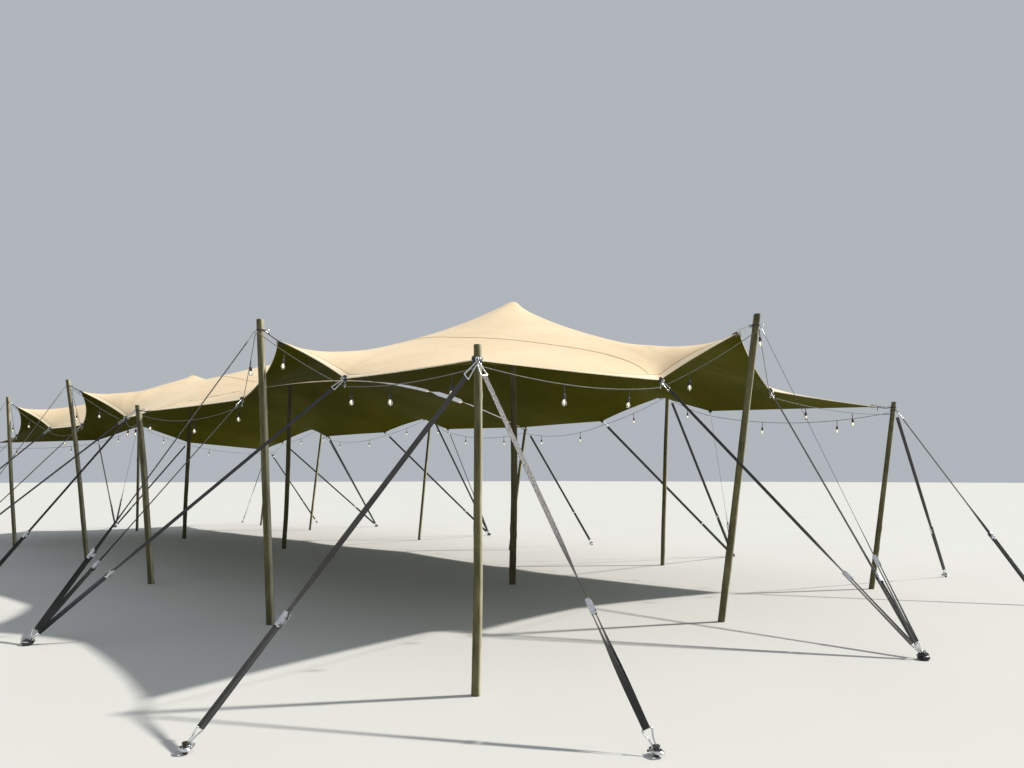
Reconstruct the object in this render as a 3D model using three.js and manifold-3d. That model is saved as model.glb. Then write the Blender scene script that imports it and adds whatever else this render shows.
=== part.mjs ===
// Stretch tent: two stretch-fabric sheets laced side by side over wooden poles, held out by
// ratchet straps, with a string of festoon lights round the edge.
// Millimetres, +X along the tent, +Y towards its far side, +Z up, origin at floor level in the middle.
import * as THREE from 'three';
import { mergeVertices } from 'three/addons/utils/BufferGeometryUtils.js';
import Module from 'manifold-3d';

const wasm = await Module();
wasm.setup();

const gap = 0.3;              // clearance left where two pieces touch
const upward = new THREE.Vector3(0, 0, 1);
const toFar = new THREE.Vector3(0, 1, 0);
const toNear = new THREE.Vector3(0, -1, 0);
const toRight = new THREE.Vector3(1, 0, 0);
const toLeft = new THREE.Vector3(-1, 0, 0);

// Fabric sheets
const fabricThickness = 14;
const fineCell = 24 * 4;      // fine grid cells across one sheet's width
const coarseStep = 4;         // every fourth grid line is kept in the solid
const relaxPasses = 500;
const relaxFactor = 1.93;
const peakSoftness = 120;     // distance from a centre pole at which the cone begins
const capRadius = 100;        // a centre pole's rounded head holds the sheet up to here
const capDrop = 40;
const ridgeGrowth = 6;        // how much more of a ridge's pull there is at its tip
const ridgeWidth = 400;
const jointSlit = 14;
const jointRise = 700;
const jointBow = 120;

// Poles: round debarked wood
const centreGirth = [48, 44];  // radius at the foot and at the top
const poleSides = 12;
const smallSides = 8;          // sides of stakes, shackles, clamps and lashings

// Straps and stakes
const strapWidth = 40;
const strapThickness = 8;
const doubledWidth = 50;
const doubledThickness = 14;
const ratchetReach = 820;     // from the stake to the ratchet
const ratchetSize = [58, 40, 130];
const stakeRadius = 14;
const stakeHeight = 70;
const shackleRadius = 42;
const shackleHeight = 44;
const shackleMiddle = 30;
const lashingWall = 12;
const lashingHeight = 36;
const lashingBite = 3;        // how far a strap starts inside the lashing's face
const lashingDrop = 120;      // from the pole top down to the middle of the lashing
const clampRadius = 34;
const clampHeight = 46;
const hookLength = 55;        // pointed hook under a low clamp, for the festoon
const hookRadius = 8;
const hookSides = 5;

// Festoon lights
const cableRadius = 4;
const cableSides = 8;
const stepsPerSpan = 2;
const bulbSpacing = 1300;      // where the photographed view doesn't give the lamps' places
const bulbProfile = [[0, 3], [9, -60], [17, -84], [24, -150], [0, -190]];
const bulbSides = 5;
const elbowSides = 6;

// Poles as foot [x, y], top [x, y, z] and girth, the radius at the foot and at the top
const poles = {
  near_right_corner_pole: { foot: [9920, -3500], top: [10012, -3577, 2460], girth: [34, 29] },
  near_side_pole_1: { foot: [6520, -3510], top: [6450, -3730, 3200], girth: [43, 39] },
  near_joint_pole: { foot: [2500, -3540], top: [2330, -3820, 2570], girth: [45, 42] },
  near_side_pole_2: { foot: [-1320, -3560], top: [-1600, -4030, 3320], girth: [40, 38] },
  near_side_pole_3: { foot: [-5800, -4050], top: [-5850, -4410, 3320], girth: [40, 37] },
  near_left_corner_pole: { foot: [-9600, -4150], top: [-9700, -4290, 2500], girth: [36, 31] },
  right_end_pole: { foot: [9520, 130], top: [10050, 190, 3235], girth: [38, 36] },
  far_right_corner_pole: { foot: [9540, 3720], top: [9910, 3930, 2560], girth: [36, 32] },
  far_side_pole_1: { foot: [5920, 3840], top: [5930, 4110, 3120], girth: [37, 34] },
  far_joint_pole: { foot: [2050, 3700], top: [2220, 4000, 2630], girth: [35, 32] },
  far_side_pole_2: { foot: [-1380, 3720], top: [-1380, 4030, 3180], girth: [36, 33] },
  far_side_pole_3: { foot: [-6400, 3300], top: [-6480, 3640, 3150], girth: [36, 33] },
  far_left_corner_pole: { foot: [-9550, 3150], top: [-9690, 3340, 2500], girth: [35, 31] },
  left_end_pole: { foot: [-9380, -600], top: [-9840, -620, 3200], girth: [38, 35] },
};
const centrePoles = {
  centre_pole_1: { foot: [5950, 330], peak: 4130 },
  centre_pole_2: { foot: [-1380, 220], peak: 4080 },
  centre_pole_3: { foot: [-5650, -480], peak: 4150 },
};

// Points where the sheets are tied down, at the fabric
const tips = {
  nearRight: [9760, -3400, 2400],
  near1Low1: [7470, -3250, 2500],
  near1: [6500, -3540, 2990],
  near1Low2: [4820, -3250, 2500],
  nearJoint: [2360, -3690, 2490],
  near2Low1: [-250, -3330, 2570],
  near2: [-1480, -3840, 3120],
  near2Low2: [-2900, -3480, 2580],
  near3Low1: [-4800, -3720, 2590],
  near3: [-5830, -4230, 3110],
  near3Low2: [-7500, -3960, 2540],
  nearLeft: [-9520, -4110, 2430],
  right1Low1: [9250, -460, 2550],
  right1: [9830, 180, 3070],
  right1Low2: [9300, 1710, 2600],
  farRight: [9710, 3830, 2500],
  far1Low1: [7150, 3600, 2600],
  far1: [5930, 3920, 2960],
  far1Low2: [4780, 3600, 2570],
  farJoint: [2290, 3820, 2590],
  far2Low1: [60, 3500, 2650],
  far2: [-1380, 3850, 3010],
  far2Low2: [-2710, 3500, 2700],
  far3Low1: [-5400, 3230, 2700],
  far3: [-6600, 3430, 2990],
  far3Low2: [-8000, 3070, 2620],
  farLeft: [-9500, 3140, 2430],
  left1Low1: [-9220, 640, 2580],
  left1: [-9650, -620, 3050],
  left1Low2: [-9220, -1800, 2570],
};

// Straps: the stake, the pole whose top it holds and the low ties that share the stake
const sideGuys = {
  near_side_guy_1: {
    pole: 'near_side_pole_1', tip: 'near1',
    low: ['near1Low1', 'near1Low2'], stake: [6000, -5570],
  },
  near_side_guy_2: {
    pole: 'near_side_pole_2', tip: 'near2',
    low: ['near2Low1', 'near2Low2'], stake: [-1700, -5800],
  },
  near_side_guy_3: {
    pole: 'near_side_pole_3', tip: 'near3',
    low: ['near3Low1', 'near3Low2'], stake: [-5900, -6060],
  },
  right_end_guy: {
    pole: 'right_end_pole', tip: 'right1',
    low: ['right1Low1', 'right1Low2'], stake: [11580, -55],
  },
  far_side_guy_1: {
    pole: 'far_side_pole_1', tip: 'far1',
    low: ['far1Low1', 'far1Low2'], stake: [5900, 6060],
  },
  far_side_guy_2: {
    pole: 'far_side_pole_2', tip: 'far2',
    low: ['far2Low1', 'far2Low2'], stake: [-1380, 5950],
  },
  far_side_guy_3: {
    pole: 'far_side_pole_3', tip: 'far3',
    low: ['far3Low1', 'far3Low2'], stake: [-6500, 5600],
  },
  left_end_guy: {
    pole: 'left_end_pole', tip: 'left1',
    low: ['left1Low1', 'left1Low2'], stake: [-11580, -640],
  },
};
const cornerStraps = {
  near_right_strap_near: { pole: 'near_right_corner_pole', stake: [9730, -5390], drop: 164 },
  near_right_strap_right: {
    pole: 'near_right_corner_pole', tip: 'nearRight', stake: [11470, -3480], drop: 122,
  },
  near_joint_strap: { pole: 'near_joint_pole', tip: 'nearJoint', stake: [2250, -5600], drop: 80 },
  near_left_strap_near: { pole: 'near_left_corner_pole', tip: 'nearLeft', stake: [-9700, -6010], drop: 80 },
  near_left_strap_left: { pole: 'near_left_corner_pole', stake: [-11460, -4250], drop: 118 },
  far_right_strap_far: { pole: 'far_right_corner_pole', tip: 'farRight', stake: [9750, 5850], drop: 80 },
  far_right_strap_right: { pole: 'far_right_corner_pole', stake: [11480, 3850], drop: 118 },
  far_joint_strap: { pole: 'far_joint_pole', tip: 'farJoint', stake: [2380, 5880], drop: 80 },
  far_left_strap_far: { pole: 'far_left_corner_pole', tip: 'farLeft', stake: [-9650, 5150], drop: 80 },
  far_left_strap_left: { pole: 'far_left_corner_pole', stake: [-11450, 3300], drop: 118 },
};

// Festoon strings: ties in order, by tip name or pole name, with the sag of the span after each
// and, where it is known, each lamp's share of the way along that span
const festoons = {
  festoon_near: { inward: toFar, tieDrop: 150, ties: [
    ['corner_near_side', 50, [0.17, 0.59, 0.93]], ['near1Low1', 30, [0.68]],
    ['side_pole_right', 0, []], ['side_pole_left', 30, [0.4]], ['near1Low2', 130, [0.03, 0.43, 0.9]],
    ['near_joint_pole', 120, [0.3, 0.8]], ['near2Low1', 40, [0.47]], ['near_side_pole_2', 40],
    ['near2Low2', 110], ['near3Low1', 40], ['near_side_pole_3', 50],
    ['near3Low2', 110], ['near_left_corner_pole', 0],
  ] },
  festoon_right: { inward: toLeft, tieDrop: 172, ties: [
    ['corner_right_side', 80, [0.39, 0.77]], ['right1Low1', 35, [0.3]], ['end_pole', 40, [0]],
    ['right1Low2', 60, [0.27, 0.66]], ['far_right_corner_pole', 0],
  ] },
  festoon_far: { inward: toNear, tieDrop: 150, ties: [
    ['far_right_corner_pole', 130, [0.27, 0.68]], ['far1Low1', 40], ['far_side_pole_1', 40],
    ['far1Low2', 130], ['far_joint_pole', 120], ['far2Low1', 40], ['far_side_pole_2', 40], ['far2Low2', 130],
    ['far3Low1', 40], ['far_side_pole_3', 50], ['far3Low2', 90], ['far_left_corner_pole', 0],
  ] },
  festoon_left: { inward: toRight, tieDrop: 172, ties: [
    ['far_left_corner_pole', 90], ['left1Low1', 40], ['left_end_pole', 40], ['left1Low2', 90],
    ['near_left_corner_pole', 0],
  ] },
};

// Ties that pass a pole further out, higher or round its outside
const festoonPasses = {
  corner_near_side: { pole: 'near_right_corner_pole', standoff: 13 },
  corner_right_side: { pole: 'near_right_corner_pole', standoff: 13, rise: 35 },
  side_pole_right: { pole: 'near_side_pole_1', standoff: 9, side: new THREE.Vector3(0.52, -0.85, 0) },
  side_pole_left: { pole: 'near_side_pole_1', standoff: 9, side: new THREE.Vector3(-0.5, -0.86, 0) },
  end_pole: { pole: 'right_end_pole', standoff: 13, side: new THREE.Vector3(0.976, -0.215, 0) },
};

// Materials
const fabricMaterial = new THREE.MeshStandardMaterial({ color: '#e0cda6', roughness: 0.85, metalness: 0 });
const woodMaterial = new THREE.MeshStandardMaterial({ color: '#9a8263', roughness: 0.8, metalness: 0 });
const strapMaterial = new THREE.MeshStandardMaterial({ color: '#1b1d20', roughness: 0.7, metalness: 0 });
const cableMaterial = new THREE.MeshStandardMaterial({ color: '#15161a', roughness: 0.6, metalness: 0 });

const group = new THREE.Group();

function addPiece(name, geometry, material) {
  const mesh = new THREE.Mesh(geometry, material);
  mesh.name = name;
  group.add(mesh);
}

// Solids in and out of manifold-3d
function toSolid(geometry) {
  const bare = geometry.clone();
  bare.deleteAttribute('normal');
  bare.deleteAttribute('uv');
  const merged = mergeVertices(bare, 0.001);
  const triVerts = new Uint32Array(merged.index.array);
  const vertProperties = new Float32Array(merged.attributes.position.array);
  return new wasm.Manifold(new wasm.Mesh({ numProp: 3, vertProperties, triVerts }));
}

function toGeometry(solid) {
  const mesh = solid.getMesh();
  const geometry = new THREE.BufferGeometry();
  geometry.setAttribute('position', new THREE.BufferAttribute(new Float32Array(mesh.vertProperties), 3));
  geometry.setIndex(new THREE.BufferAttribute(new Uint32Array(mesh.triVerts), 1));
  geometry.computeVertexNormals();
  return geometry;
}

function joined(solids) {
  return solids.reduce((sum, solid) => sum.add(solid));
}

// A box of the given section from one point to another, its wide side level
function bar(from, to, width, thickness) {
  const along = to.clone().sub(from);
  const geometry = new THREE.BoxGeometry(width, thickness, along.length());
  const middle = from.clone().add(to).multiplyScalar(0.5);
  const zAxis = along.clone().normalize();
  const xAxis = new THREE.Vector3().crossVectors(upward, zAxis).normalize();
  const yAxis = new THREE.Vector3().crossVectors(zAxis, xAxis);
  const placing = new THREE.Matrix4().makeBasis(xAxis, yAxis, zAxis).setPosition(middle);
  geometry.applyMatrix4(placing);
  return toSolid(geometry);
}

function disc(point, radius, height, sides) {
  const geometry = new THREE.CylinderGeometry(radius, radius, height, sides);
  geometry.rotateX(Math.PI / 2);
  geometry.translate(point.x, point.y, point.z);
  return toSolid(geometry);
}

// Poles
function poleGeometry({ foot, top, girth }, extra) {
  const height = top[2];
  const geometry = new THREE.CylinderGeometry(girth[1] + extra, girth[0] + extra, height, poleSides);
  geometry.rotateX(Math.PI / 2);
  geometry.translate(0, 0, height / 2);
  const lean = new THREE.Matrix4().makeShear(0, 0, 0, 0, 0, 0);
  lean.elements[8] = (top[0] - foot[0]) / height;
  lean.elements[9] = (top[1] - foot[1]) / height;
  geometry.applyMatrix4(lean);
  geometry.translate(foot[0], foot[1], 0);
  return geometry;
}

// A point on a pole's axis, measured down from its top
function onPole(pole, drop) {
  const share = 1 - drop / pole.top[2];
  const x = pole.foot[0] + (pole.top[0] - pole.foot[0]) * share;
  const y = pole.foot[1] + (pole.top[1] - pole.foot[1]) * share;
  return new THREE.Vector3(x, y, pole.top[2] - drop);
}

// A pole's radius, measured down from its top
function radiusAt(pole, drop) {
  return pole.girth[1] + (pole.girth[0] - pole.girth[1]) * (drop / pole.top[2]);
}

// A point on the face of a pole's lashing, on the side towards a target
function onLashing(pole, drop, target) {
  const point = onPole(pole, drop);
  const outward = new THREE.Vector3(target[0] - point.x, target[1] - point.y, 0).normalize();
  return point.addScaledVector(outward, radiusAt(pole, drop) + lashingWall - lashingBite);
}

// Sheets. Each side is a list of [tip, grid index] and the sag of the edge between neighbours.
function sideCurve(stops, sags, inward) {
  return (index) => {
    const after = stops.findIndex(([, at]) => at >= index);
    const last = Math.max(after, 1);
    const [startTip, startIndex] = stops[last - 1];
    const [endTip, endIndex] = stops[last];
    const t = (index - startIndex) / (endIndex - startIndex);
    const point = new THREE.Vector3(...tips[startTip]).lerp(new THREE.Vector3(...tips[endTip]), t);
    const sag = 4 * t * (1 - t) * sags[last - 1];
    return point.addScaledVector(inward, sag);
  };
}

function jointCurve(side) {
  const start = new THREE.Vector3(...tips.nearJoint);
  const end = new THREE.Vector3(...tips.farJoint);
  return (index) => {
    const t = index / fineCell;
    const arch = Math.sin(Math.PI * t);
    const point = start.clone().lerp(end, t);
    return point.add(new THREE.Vector3(jointBow * arch + (side * jointSlit) / 2, 0, jointRise * arch));
  };
}

// Points between four side curves, as one flat list, column by column
function coonsPoints(sheet) {
  const columns = sheet.columns;
  const points = [];
  for (let i = 0; i <= columns; i += 1) {
    for (let j = 0; j <= fineCell; j += 1) {
      const u = i / columns;
      const v = j / fineCell;
      const across = sheet.near(i).multiplyScalar(1 - v).add(sheet.far(i).multiplyScalar(v));
      const along = sheet.left(j).multiplyScalar(1 - u).add(sheet.right(j).multiplyScalar(u));
      const cornerNear = sheet.near(0).multiplyScalar(1 - u).add(sheet.near(columns).multiplyScalar(u));
      const cornerFar = sheet.far(0).multiplyScalar(1 - u).add(sheet.far(columns).multiplyScalar(u));
      const corners = cornerNear.multiplyScalar(1 - v).add(cornerFar.multiplyScalar(v));
      points.push(across.add(along).sub(corners));
    }
  }
  return points;
}

// Moves each inner value towards the weighted mean of its four neighbours
function relax(values, weights, columns, held) {
  const stride = fineCell + 1;
  for (let pass = 0; pass < relaxPasses; pass += 1) {
    for (let i = 1; i < columns; i += 1) {
      for (let k = i * stride + 1; k < i * stride + fineCell; k += 1) {
        if (!held.has(k)) {
          const here = weights[k];
          const left = here + weights[k - stride];
          const right = here + weights[k + stride];
          const near = here + weights[k - 1];
          const far = here + weights[k + 1];
          const pulled = left * values[k - stride] + right * values[k + stride]
            + near * values[k - 1] + far * values[k + 1];
          values[k] += relaxFactor * (pulled / (left + right + near + far) - values[k]);
        }
      }
    }
  }
}

// How much tighter the sheet is at a point because of the ridges from its peaks to some of its tips
function ridgeFactor(sheet, x, y) {
  return sheet.ridges.reduce((sum, { pole, tip, pull }) => {
    const start = new THREE.Vector2(...centrePoles[pole].foot);
    const along = new THREE.Vector2(tips[tip][0], tips[tip][1]).sub(start);
    const reach = new THREE.Vector2(x, y).sub(start);
    const share = Math.min(reach.dot(along) / along.lengthSq(), 1);
    const aside = reach.cross(along) / along.length();
    const tension = share > 0 ? pull * (1 + ridgeGrowth * share ** 2) : 0;
    return sum + tension * Math.exp(-((aside / ridgeWidth) ** 2));
  }, 1);
}

// Grid of points relaxed to a tensioned sheet over its centre poles
function relaxedSheet(sheet) {
  const stride = fineCell + 1;
  const points = coonsPoints(sheet);
  const held = new Set();
  for (const { pole, column, row } of sheet.peaks) {
    points[column * stride + row].set(...centrePoles[pole].foot, centrePoles[pole].peak);
    held.add(column * stride + row);
  }
  const [x, y, z] = ['x', 'y', 'z'].map((axis) => Float64Array.from(points, (point) => point[axis]));
  const even = new Float64Array(points.length).fill(1);
  relax(x, even, sheet.columns, held);
  relax(y, even, sheet.columns, held);
  const stiff = Float64Array.from(points, (point, k) => {
    const reaches = sheet.peaks.map(({ pole }) => {
      const { foot, peak } = centrePoles[pole];
      const reach = Math.hypot(x[k] - foot[0], y[k] - foot[1]);
      if (reach <= capRadius) {
        z[k] = peak - capDrop * (reach / capRadius) ** 2;
        held.add(k);
      }
      return reach;
    });
    return ridgeFactor(sheet, x[k], y[k]) * (Math.min(...reaches) + peakSoftness) ** -sheet.peakPower;
  });
  relax(z, stiff, sheet.columns, held);
  const grid = [];
  for (let i = 0; i <= sheet.columns; i += 1) {
    const line = Array.from({ length: stride }, (_, j) => i * stride + j);
    grid.push(line.map((k) => new THREE.Vector3(x[k], y[k], z[k])));
  }
  return grid;
}

// A closed solid between a grid lifted by topLift and the same grid lifted by bottomLift
function sheetSolid(grid, topLift, bottomLift) {
  const kept = grid.filter((line, i) => i % coarseStep === 0);
  const lines = kept.map((line) => line.filter((point, j) => j % coarseStep === 0));
  const columns = lines.length - 1;
  const rows = lines[0].length - 1;
  const count = lines.length * lines[0].length;
  const positions = [];
  for (const lift of [topLift, bottomLift]) {
    lines.forEach((line) => line.forEach((point) => positions.push(point.x, point.y, point.z + lift)));
  }
  const at = (i, j) => i * (rows + 1) + j;
  const faces = [];
  for (let i = 0; i < columns; i += 1) {
    for (let j = 0; j < rows; j += 1) {
      const [a, b, c, d] = [at(i, j), at(i + 1, j), at(i + 1, j + 1), at(i, j + 1)];
      faces.push(a, b, c, a, c, d);
      faces.push(count + a, count + c, count + b, count + a, count + d, count + c);
    }
  }
  const rim = [];
  for (let i = 0; i < columns; i += 1) {
    rim.push([at(i, 0), at(i + 1, 0)], [at(i + 1, rows), at(i, rows)]);
  }
  for (let j = 0; j < rows; j += 1) {
    rim.push([at(columns, j), at(columns, j + 1)], [at(0, j + 1), at(0, j)]);
  }
  rim.forEach(([a, b]) => faces.push(a, count + a, count + b, a, count + b, b));
  const geometry = new THREE.BufferGeometry();
  geometry.setAttribute('position', new THREE.Float32BufferAttribute(positions, 3));
  geometry.setIndex(faces);
  return toSolid(geometry);
}

const cells = coarseStep;
const sheets = {
  canopy_right: {
    columns: 24 * cells,
    near: sideCurve([['nearJoint', 0], ['near1Low2', 8 * cells], ['near1', 14 * cells],
      ['near1Low1', 17 * cells], ['nearRight', 24 * cells]], [40, 90, 60, 40], toFar),
    far: sideCurve([['farJoint', 0], ['far1Low2', 8 * cells], ['far1', 12 * cells], ['far1Low1', 16 * cells],
      ['farRight', 24 * cells]], [40, 70, 70, 40], toNear),
    left: jointCurve(1),
    right: sideCurve([['nearRight', 0], ['right1Low1', 10 * cells], ['right1', 12 * cells],
      ['right1Low2', 17 * cells], ['farRight', 24 * cells]], [40, 50, 40, 40], toLeft),
    peaks: [{ pole: 'centre_pole_1', column: 12 * cells, row: 12 * cells }],
    peakPower: 0.6,             // 0 gives a soap film, 1 a straight cone
    ridges: [{ pole: 'centre_pole_1', tip: 'right1', pull: 1.5 }],
  },
  canopy_left: {
    columns: 36 * cells,
    near: sideCurve([['nearLeft', 0], ['near3Low2', 6 * cells], ['near3', 11 * cells],
      ['near3Low1', 14 * cells], ['near2Low2', 20 * cells], ['near2', 24 * cells],
      ['near2Low1', 28 * cells], ['nearJoint', 36 * cells]], [40, 80, 60, 60, 80, 60, 40], toFar),
    far: sideCurve([['farLeft', 0], ['far3Low2', 5 * cells], ['far3', 10 * cells],
      ['far3Low1', 13 * cells], ['far2Low2', 20 * cells], ['far2', 24 * cells],
      ['far2Low1', 28 * cells], ['farJoint', 36 * cells]], [40, 80, 60, 60, 80, 80, 40], toNear),
    left: sideCurve([['nearLeft', 0], ['left1Low2', 8 * cells], ['left1', 12 * cells],
      ['left1Low1', 16 * cells], ['farLeft', 24 * cells]], [40, 60, 60, 40], toRight),
    right: jointCurve(-1),
    peaks: [
      { pole: 'centre_pole_2', column: 24 * cells, row: 12 * cells },
      { pole: 'centre_pole_3', column: 12 * cells, row: 12 * cells },
    ],
    peakPower: 0.8,
    ridges: [
      { pole: 'centre_pole_3', tip: 'left1', pull: 1 },
      { pole: 'centre_pole_3', tip: 'near3', pull: 1 },
      { pole: 'centre_pole_2', tip: 'near2', pull: 5 },
    ],
  },
};

// Hardware shared by the straps
function stakeSolid(stake) {
  const pin = disc(new THREE.Vector3(...stake, stakeHeight / 2), stakeRadius, stakeHeight, smallSides);
  const shackle = disc(new THREE.Vector3(...stake, shackleMiddle), shackleRadius, shackleHeight, smallSides);
  return pin.add(shackle);
}

// A strap from a stake up to a point: doubled to its ratchet, single above
function strapSolid(stake, end) {
  const start = new THREE.Vector3(...stake, shackleMiddle);
  const along = end.clone().sub(start).normalize();
  const lower = start.clone().addScaledVector(along, ratchetReach);
  const middle = lower.clone().addScaledVector(along, ratchetSize[2] / 2);
  const upper = lower.clone().addScaledVector(along, ratchetSize[2]);
  return joined([
    bar(start, middle, doubledWidth, doubledThickness),
    bar(lower, upper, ratchetSize[0], ratchetSize[1]),
    bar(middle, end, strapWidth, strapThickness),
  ]);
}

function lashingSolid(pole, drop) {
  const lowest = onPole(pole, drop + lashingHeight / 2);
  const radius = radiusAt(pole, drop) + lashingWall;
  const shape = new THREE.CylinderGeometry(radius, radius, lashingHeight, smallSides);
  shape.rotateX(Math.PI / 2);
  shape.translate(lowest.x, lowest.y, lowest.z + lashingHeight / 2);
  return toSolid(shape);
}

// The short strap that hangs a tip of the sheet from the lashing
function hangerSolid(pole, drop, tip) {
  const start = onLashing(pole, drop, tip);
  return bar(start, new THREE.Vector3(...tip), strapWidth, strapThickness);
}

const clampHoles = [];

function clampSolid(tip) {
  const point = new THREE.Vector3(...tips[tip]);
  clampHoles.push(disc(point, clampRadius + gap, clampHeight + 2 * gap, smallSides));
  return disc(point, clampRadius, clampHeight, smallSides);
}

function hookSolid(tip) {
  const [x, y, z] = tips[tip];
  const hook = new THREE.ConeGeometry(hookRadius, hookLength + clampHeight / 2, hookSides);
  hook.rotateX(-Math.PI / 2);
  hook.translate(x, y, z - (hookLength + clampHeight / 2) / 2);
  return toSolid(hook);
}

function makeSideGuys() {
  for (const [name, guy] of Object.entries(sideGuys)) {
    const pole = poles[guy.pole];
    const outer = onLashing(pole, lashingDrop, guy.stake);
    const solids = [stakeSolid(guy.stake), strapSolid(guy.stake, outer), lashingSolid(pole, lashingDrop)];
    solids.push(clampSolid(guy.tip), hangerSolid(pole, lashingDrop, tips[guy.tip]));
    for (const low of guy.low) {
      solids.push(clampSolid(low), hookSolid(low), strapSolid(guy.stake, new THREE.Vector3(...tips[low])));
    }
    const poleHole = toSolid(poleGeometry(pole, gap));
    addPiece(name, toGeometry(joined(solids).subtract(poleHole)), strapMaterial);
  }
}

function makeCornerStraps() {
  for (const [name, strap] of Object.entries(cornerStraps)) {
    const pole = poles[strap.pole];
    const outer = onLashing(pole, strap.drop, strap.stake);
    const solids = [stakeSolid(strap.stake), strapSolid(strap.stake, outer), lashingSolid(pole, strap.drop)];
    if (strap.tip) {
      solids.push(clampSolid(strap.tip), hangerSolid(pole, strap.drop, tips[strap.tip]));
    }
    const poleHole = toSolid(poleGeometry(pole, gap));
    addPiece(name, toGeometry(joined(solids).subtract(poleHole)), strapMaterial);
  }
}

function makeSheetsAndCentrePoles() {
  for (const [name, sheet] of Object.entries(sheets)) {
    const grid = relaxedSheet(sheet);
    const whole = sheetSolid(grid, 0, -fabricThickness);
    const solid = clampHoles.reduce((left, hole) => left.subtract(hole), whole);
    addPiece(name, toGeometry(solid), fabricMaterial);
    for (const { pole } of sheet.peaks) {
      const { foot, peak } = centrePoles[pole];
      const tall = toSolid(poleGeometry({ foot, top: [...foot, peak], girth: centreGirth }, 0));
      const above = sheetSolid(grid, peak, -fabricThickness - gap);
      addPiece(pole, toGeometry(tall.subtract(above)), woodMaterial);
    }
  }
}

function makeEdgePoles() {
  for (const [name, pole] of Object.entries(poles)) {
    addPiece(name, poleGeometry(pole, 0), woodMaterial);
  }
}

// Where a festoon string is tied: on a pole, as a rule on its inner face, or on the hook under a clamp
function festoonTie(name, string) {
  const plain = { pole: name, standoff: 0, rise: 0, side: string.inward };
  const pass = { ...plain, ...festoonPasses[name] };
  const pole = poles[pass.pole];
  if (pole) {
    const drop = string.tieDrop - pass.rise;
    const reach = radiusAt(pole, drop) + pass.standoff + cableRadius + gap;
    return onPole(pole, drop).addScaledVector(pass.side, reach);
  }
  const [x, y, z] = tips[name];
  return new THREE.Vector3(x, y, z - clampHeight / 2 - hookLength - cableRadius - gap);
}

// A point at a share of the way along a span, on the straight steps of its tube
function onSteps(knots, share) {
  const step = Math.min(Math.floor(share * stepsPerSpan), stepsPerSpan - 1);
  return knots[step].clone().lerp(knots[step + 1], share * stepsPerSpan - step);
}

function bulbSolid(point) {
  const profile = bulbProfile.map(([radius, z]) => new THREE.Vector2(radius, z)).reverse();
  const bulb = new THREE.LatheGeometry(profile, bulbSides);
  bulb.rotateX(Math.PI / 2);
  bulb.translate(point.x, point.y, point.z);
  return toSolid(bulb);
}

function elbowSolid(point) {
  const elbow = new THREE.SphereGeometry(cableRadius, elbowSides, elbowSides / 2);
  elbow.translate(point.x, point.y, point.z);
  return toSolid(elbow);
}

// Shares of the way along a span at which its lamps hang
function lampShares(shares, length) {
  const lamps = Math.max(1, Math.round(length / bulbSpacing));
  return shares ?? Array.from({ length: lamps }, (_, n) => (n + 0.5) / lamps);
}

function makeFestoons() {
  const section = new THREE.Shape();
  section.absarc(0, 0, cableRadius, 0, 2 * Math.PI);
  for (const [name, string] of Object.entries(festoons)) {
    const points = string.ties.map(([tie]) => festoonTie(tie, string));
    const solids = points.map(elbowSolid);
    string.ties.slice(0, -1).forEach(([, sag, shares], k) => {
      const middle = points[k].clone().add(points[k + 1]).multiplyScalar(0.5);
      middle.z -= 2 * sag;
      const span = new THREE.QuadraticBezierCurve3(points[k], middle, points[k + 1]);
      const path = { steps: stepsPerSpan, curveSegments: cableSides / 2, extrudePath: span };
      solids.push(toSolid(new THREE.ExtrudeGeometry(section, path)));
      const knots = span.getSpacedPoints(stepsPerSpan);
      const lamps = lampShares(shares, span.getLength());
      lamps.forEach((share) => solids.push(bulbSolid(onSteps(knots, share))));
    });
    addPiece(name, toGeometry(joined(solids)), cableMaterial);
  }
}

makeSideGuys();
makeCornerStraps();
makeSheetsAndCentrePoles();
makeEdgePoles();
makeFestoons();

export default group;
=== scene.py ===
# Stretch tent on wooden poles, with its straps and festoon lights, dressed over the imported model.
# Metres, +X along the tent, +Y towards its far side, +Z up, origin on the ground in the middle.
import math
import random
import bmesh
import bpy
import numpy as np
from mathutils import Matrix, Vector, noise


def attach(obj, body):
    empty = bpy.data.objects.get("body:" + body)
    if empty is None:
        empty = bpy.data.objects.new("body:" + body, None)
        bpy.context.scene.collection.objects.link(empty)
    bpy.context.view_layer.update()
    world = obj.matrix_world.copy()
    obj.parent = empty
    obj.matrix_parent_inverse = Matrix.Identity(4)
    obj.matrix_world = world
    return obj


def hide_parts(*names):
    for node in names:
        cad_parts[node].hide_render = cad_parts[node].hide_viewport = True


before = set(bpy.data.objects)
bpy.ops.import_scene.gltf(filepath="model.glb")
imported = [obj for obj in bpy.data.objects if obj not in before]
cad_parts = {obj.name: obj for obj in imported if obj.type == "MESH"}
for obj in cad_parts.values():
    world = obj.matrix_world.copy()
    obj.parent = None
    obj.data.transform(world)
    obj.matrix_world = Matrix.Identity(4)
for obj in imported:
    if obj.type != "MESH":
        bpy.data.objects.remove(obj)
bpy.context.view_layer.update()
print("frame loaded:", len(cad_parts), "nodes")

up = Vector((0, 0, 1))
white, black = (1, 1, 1), (0, 0, 0)

# camera at the photograph's place and angle
camera = {
    "place": (14.16, -6.89, 1.5), "turn": 48.7, "tilt": 7.229, "lens": 26.19, "sensor": 36, "clipEnd": 600,
}


def newObject(name, data):
    made = bpy.data.objects.new(name, data)
    bpy.context.scene.collection.objects.link(made)
    return made


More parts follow.
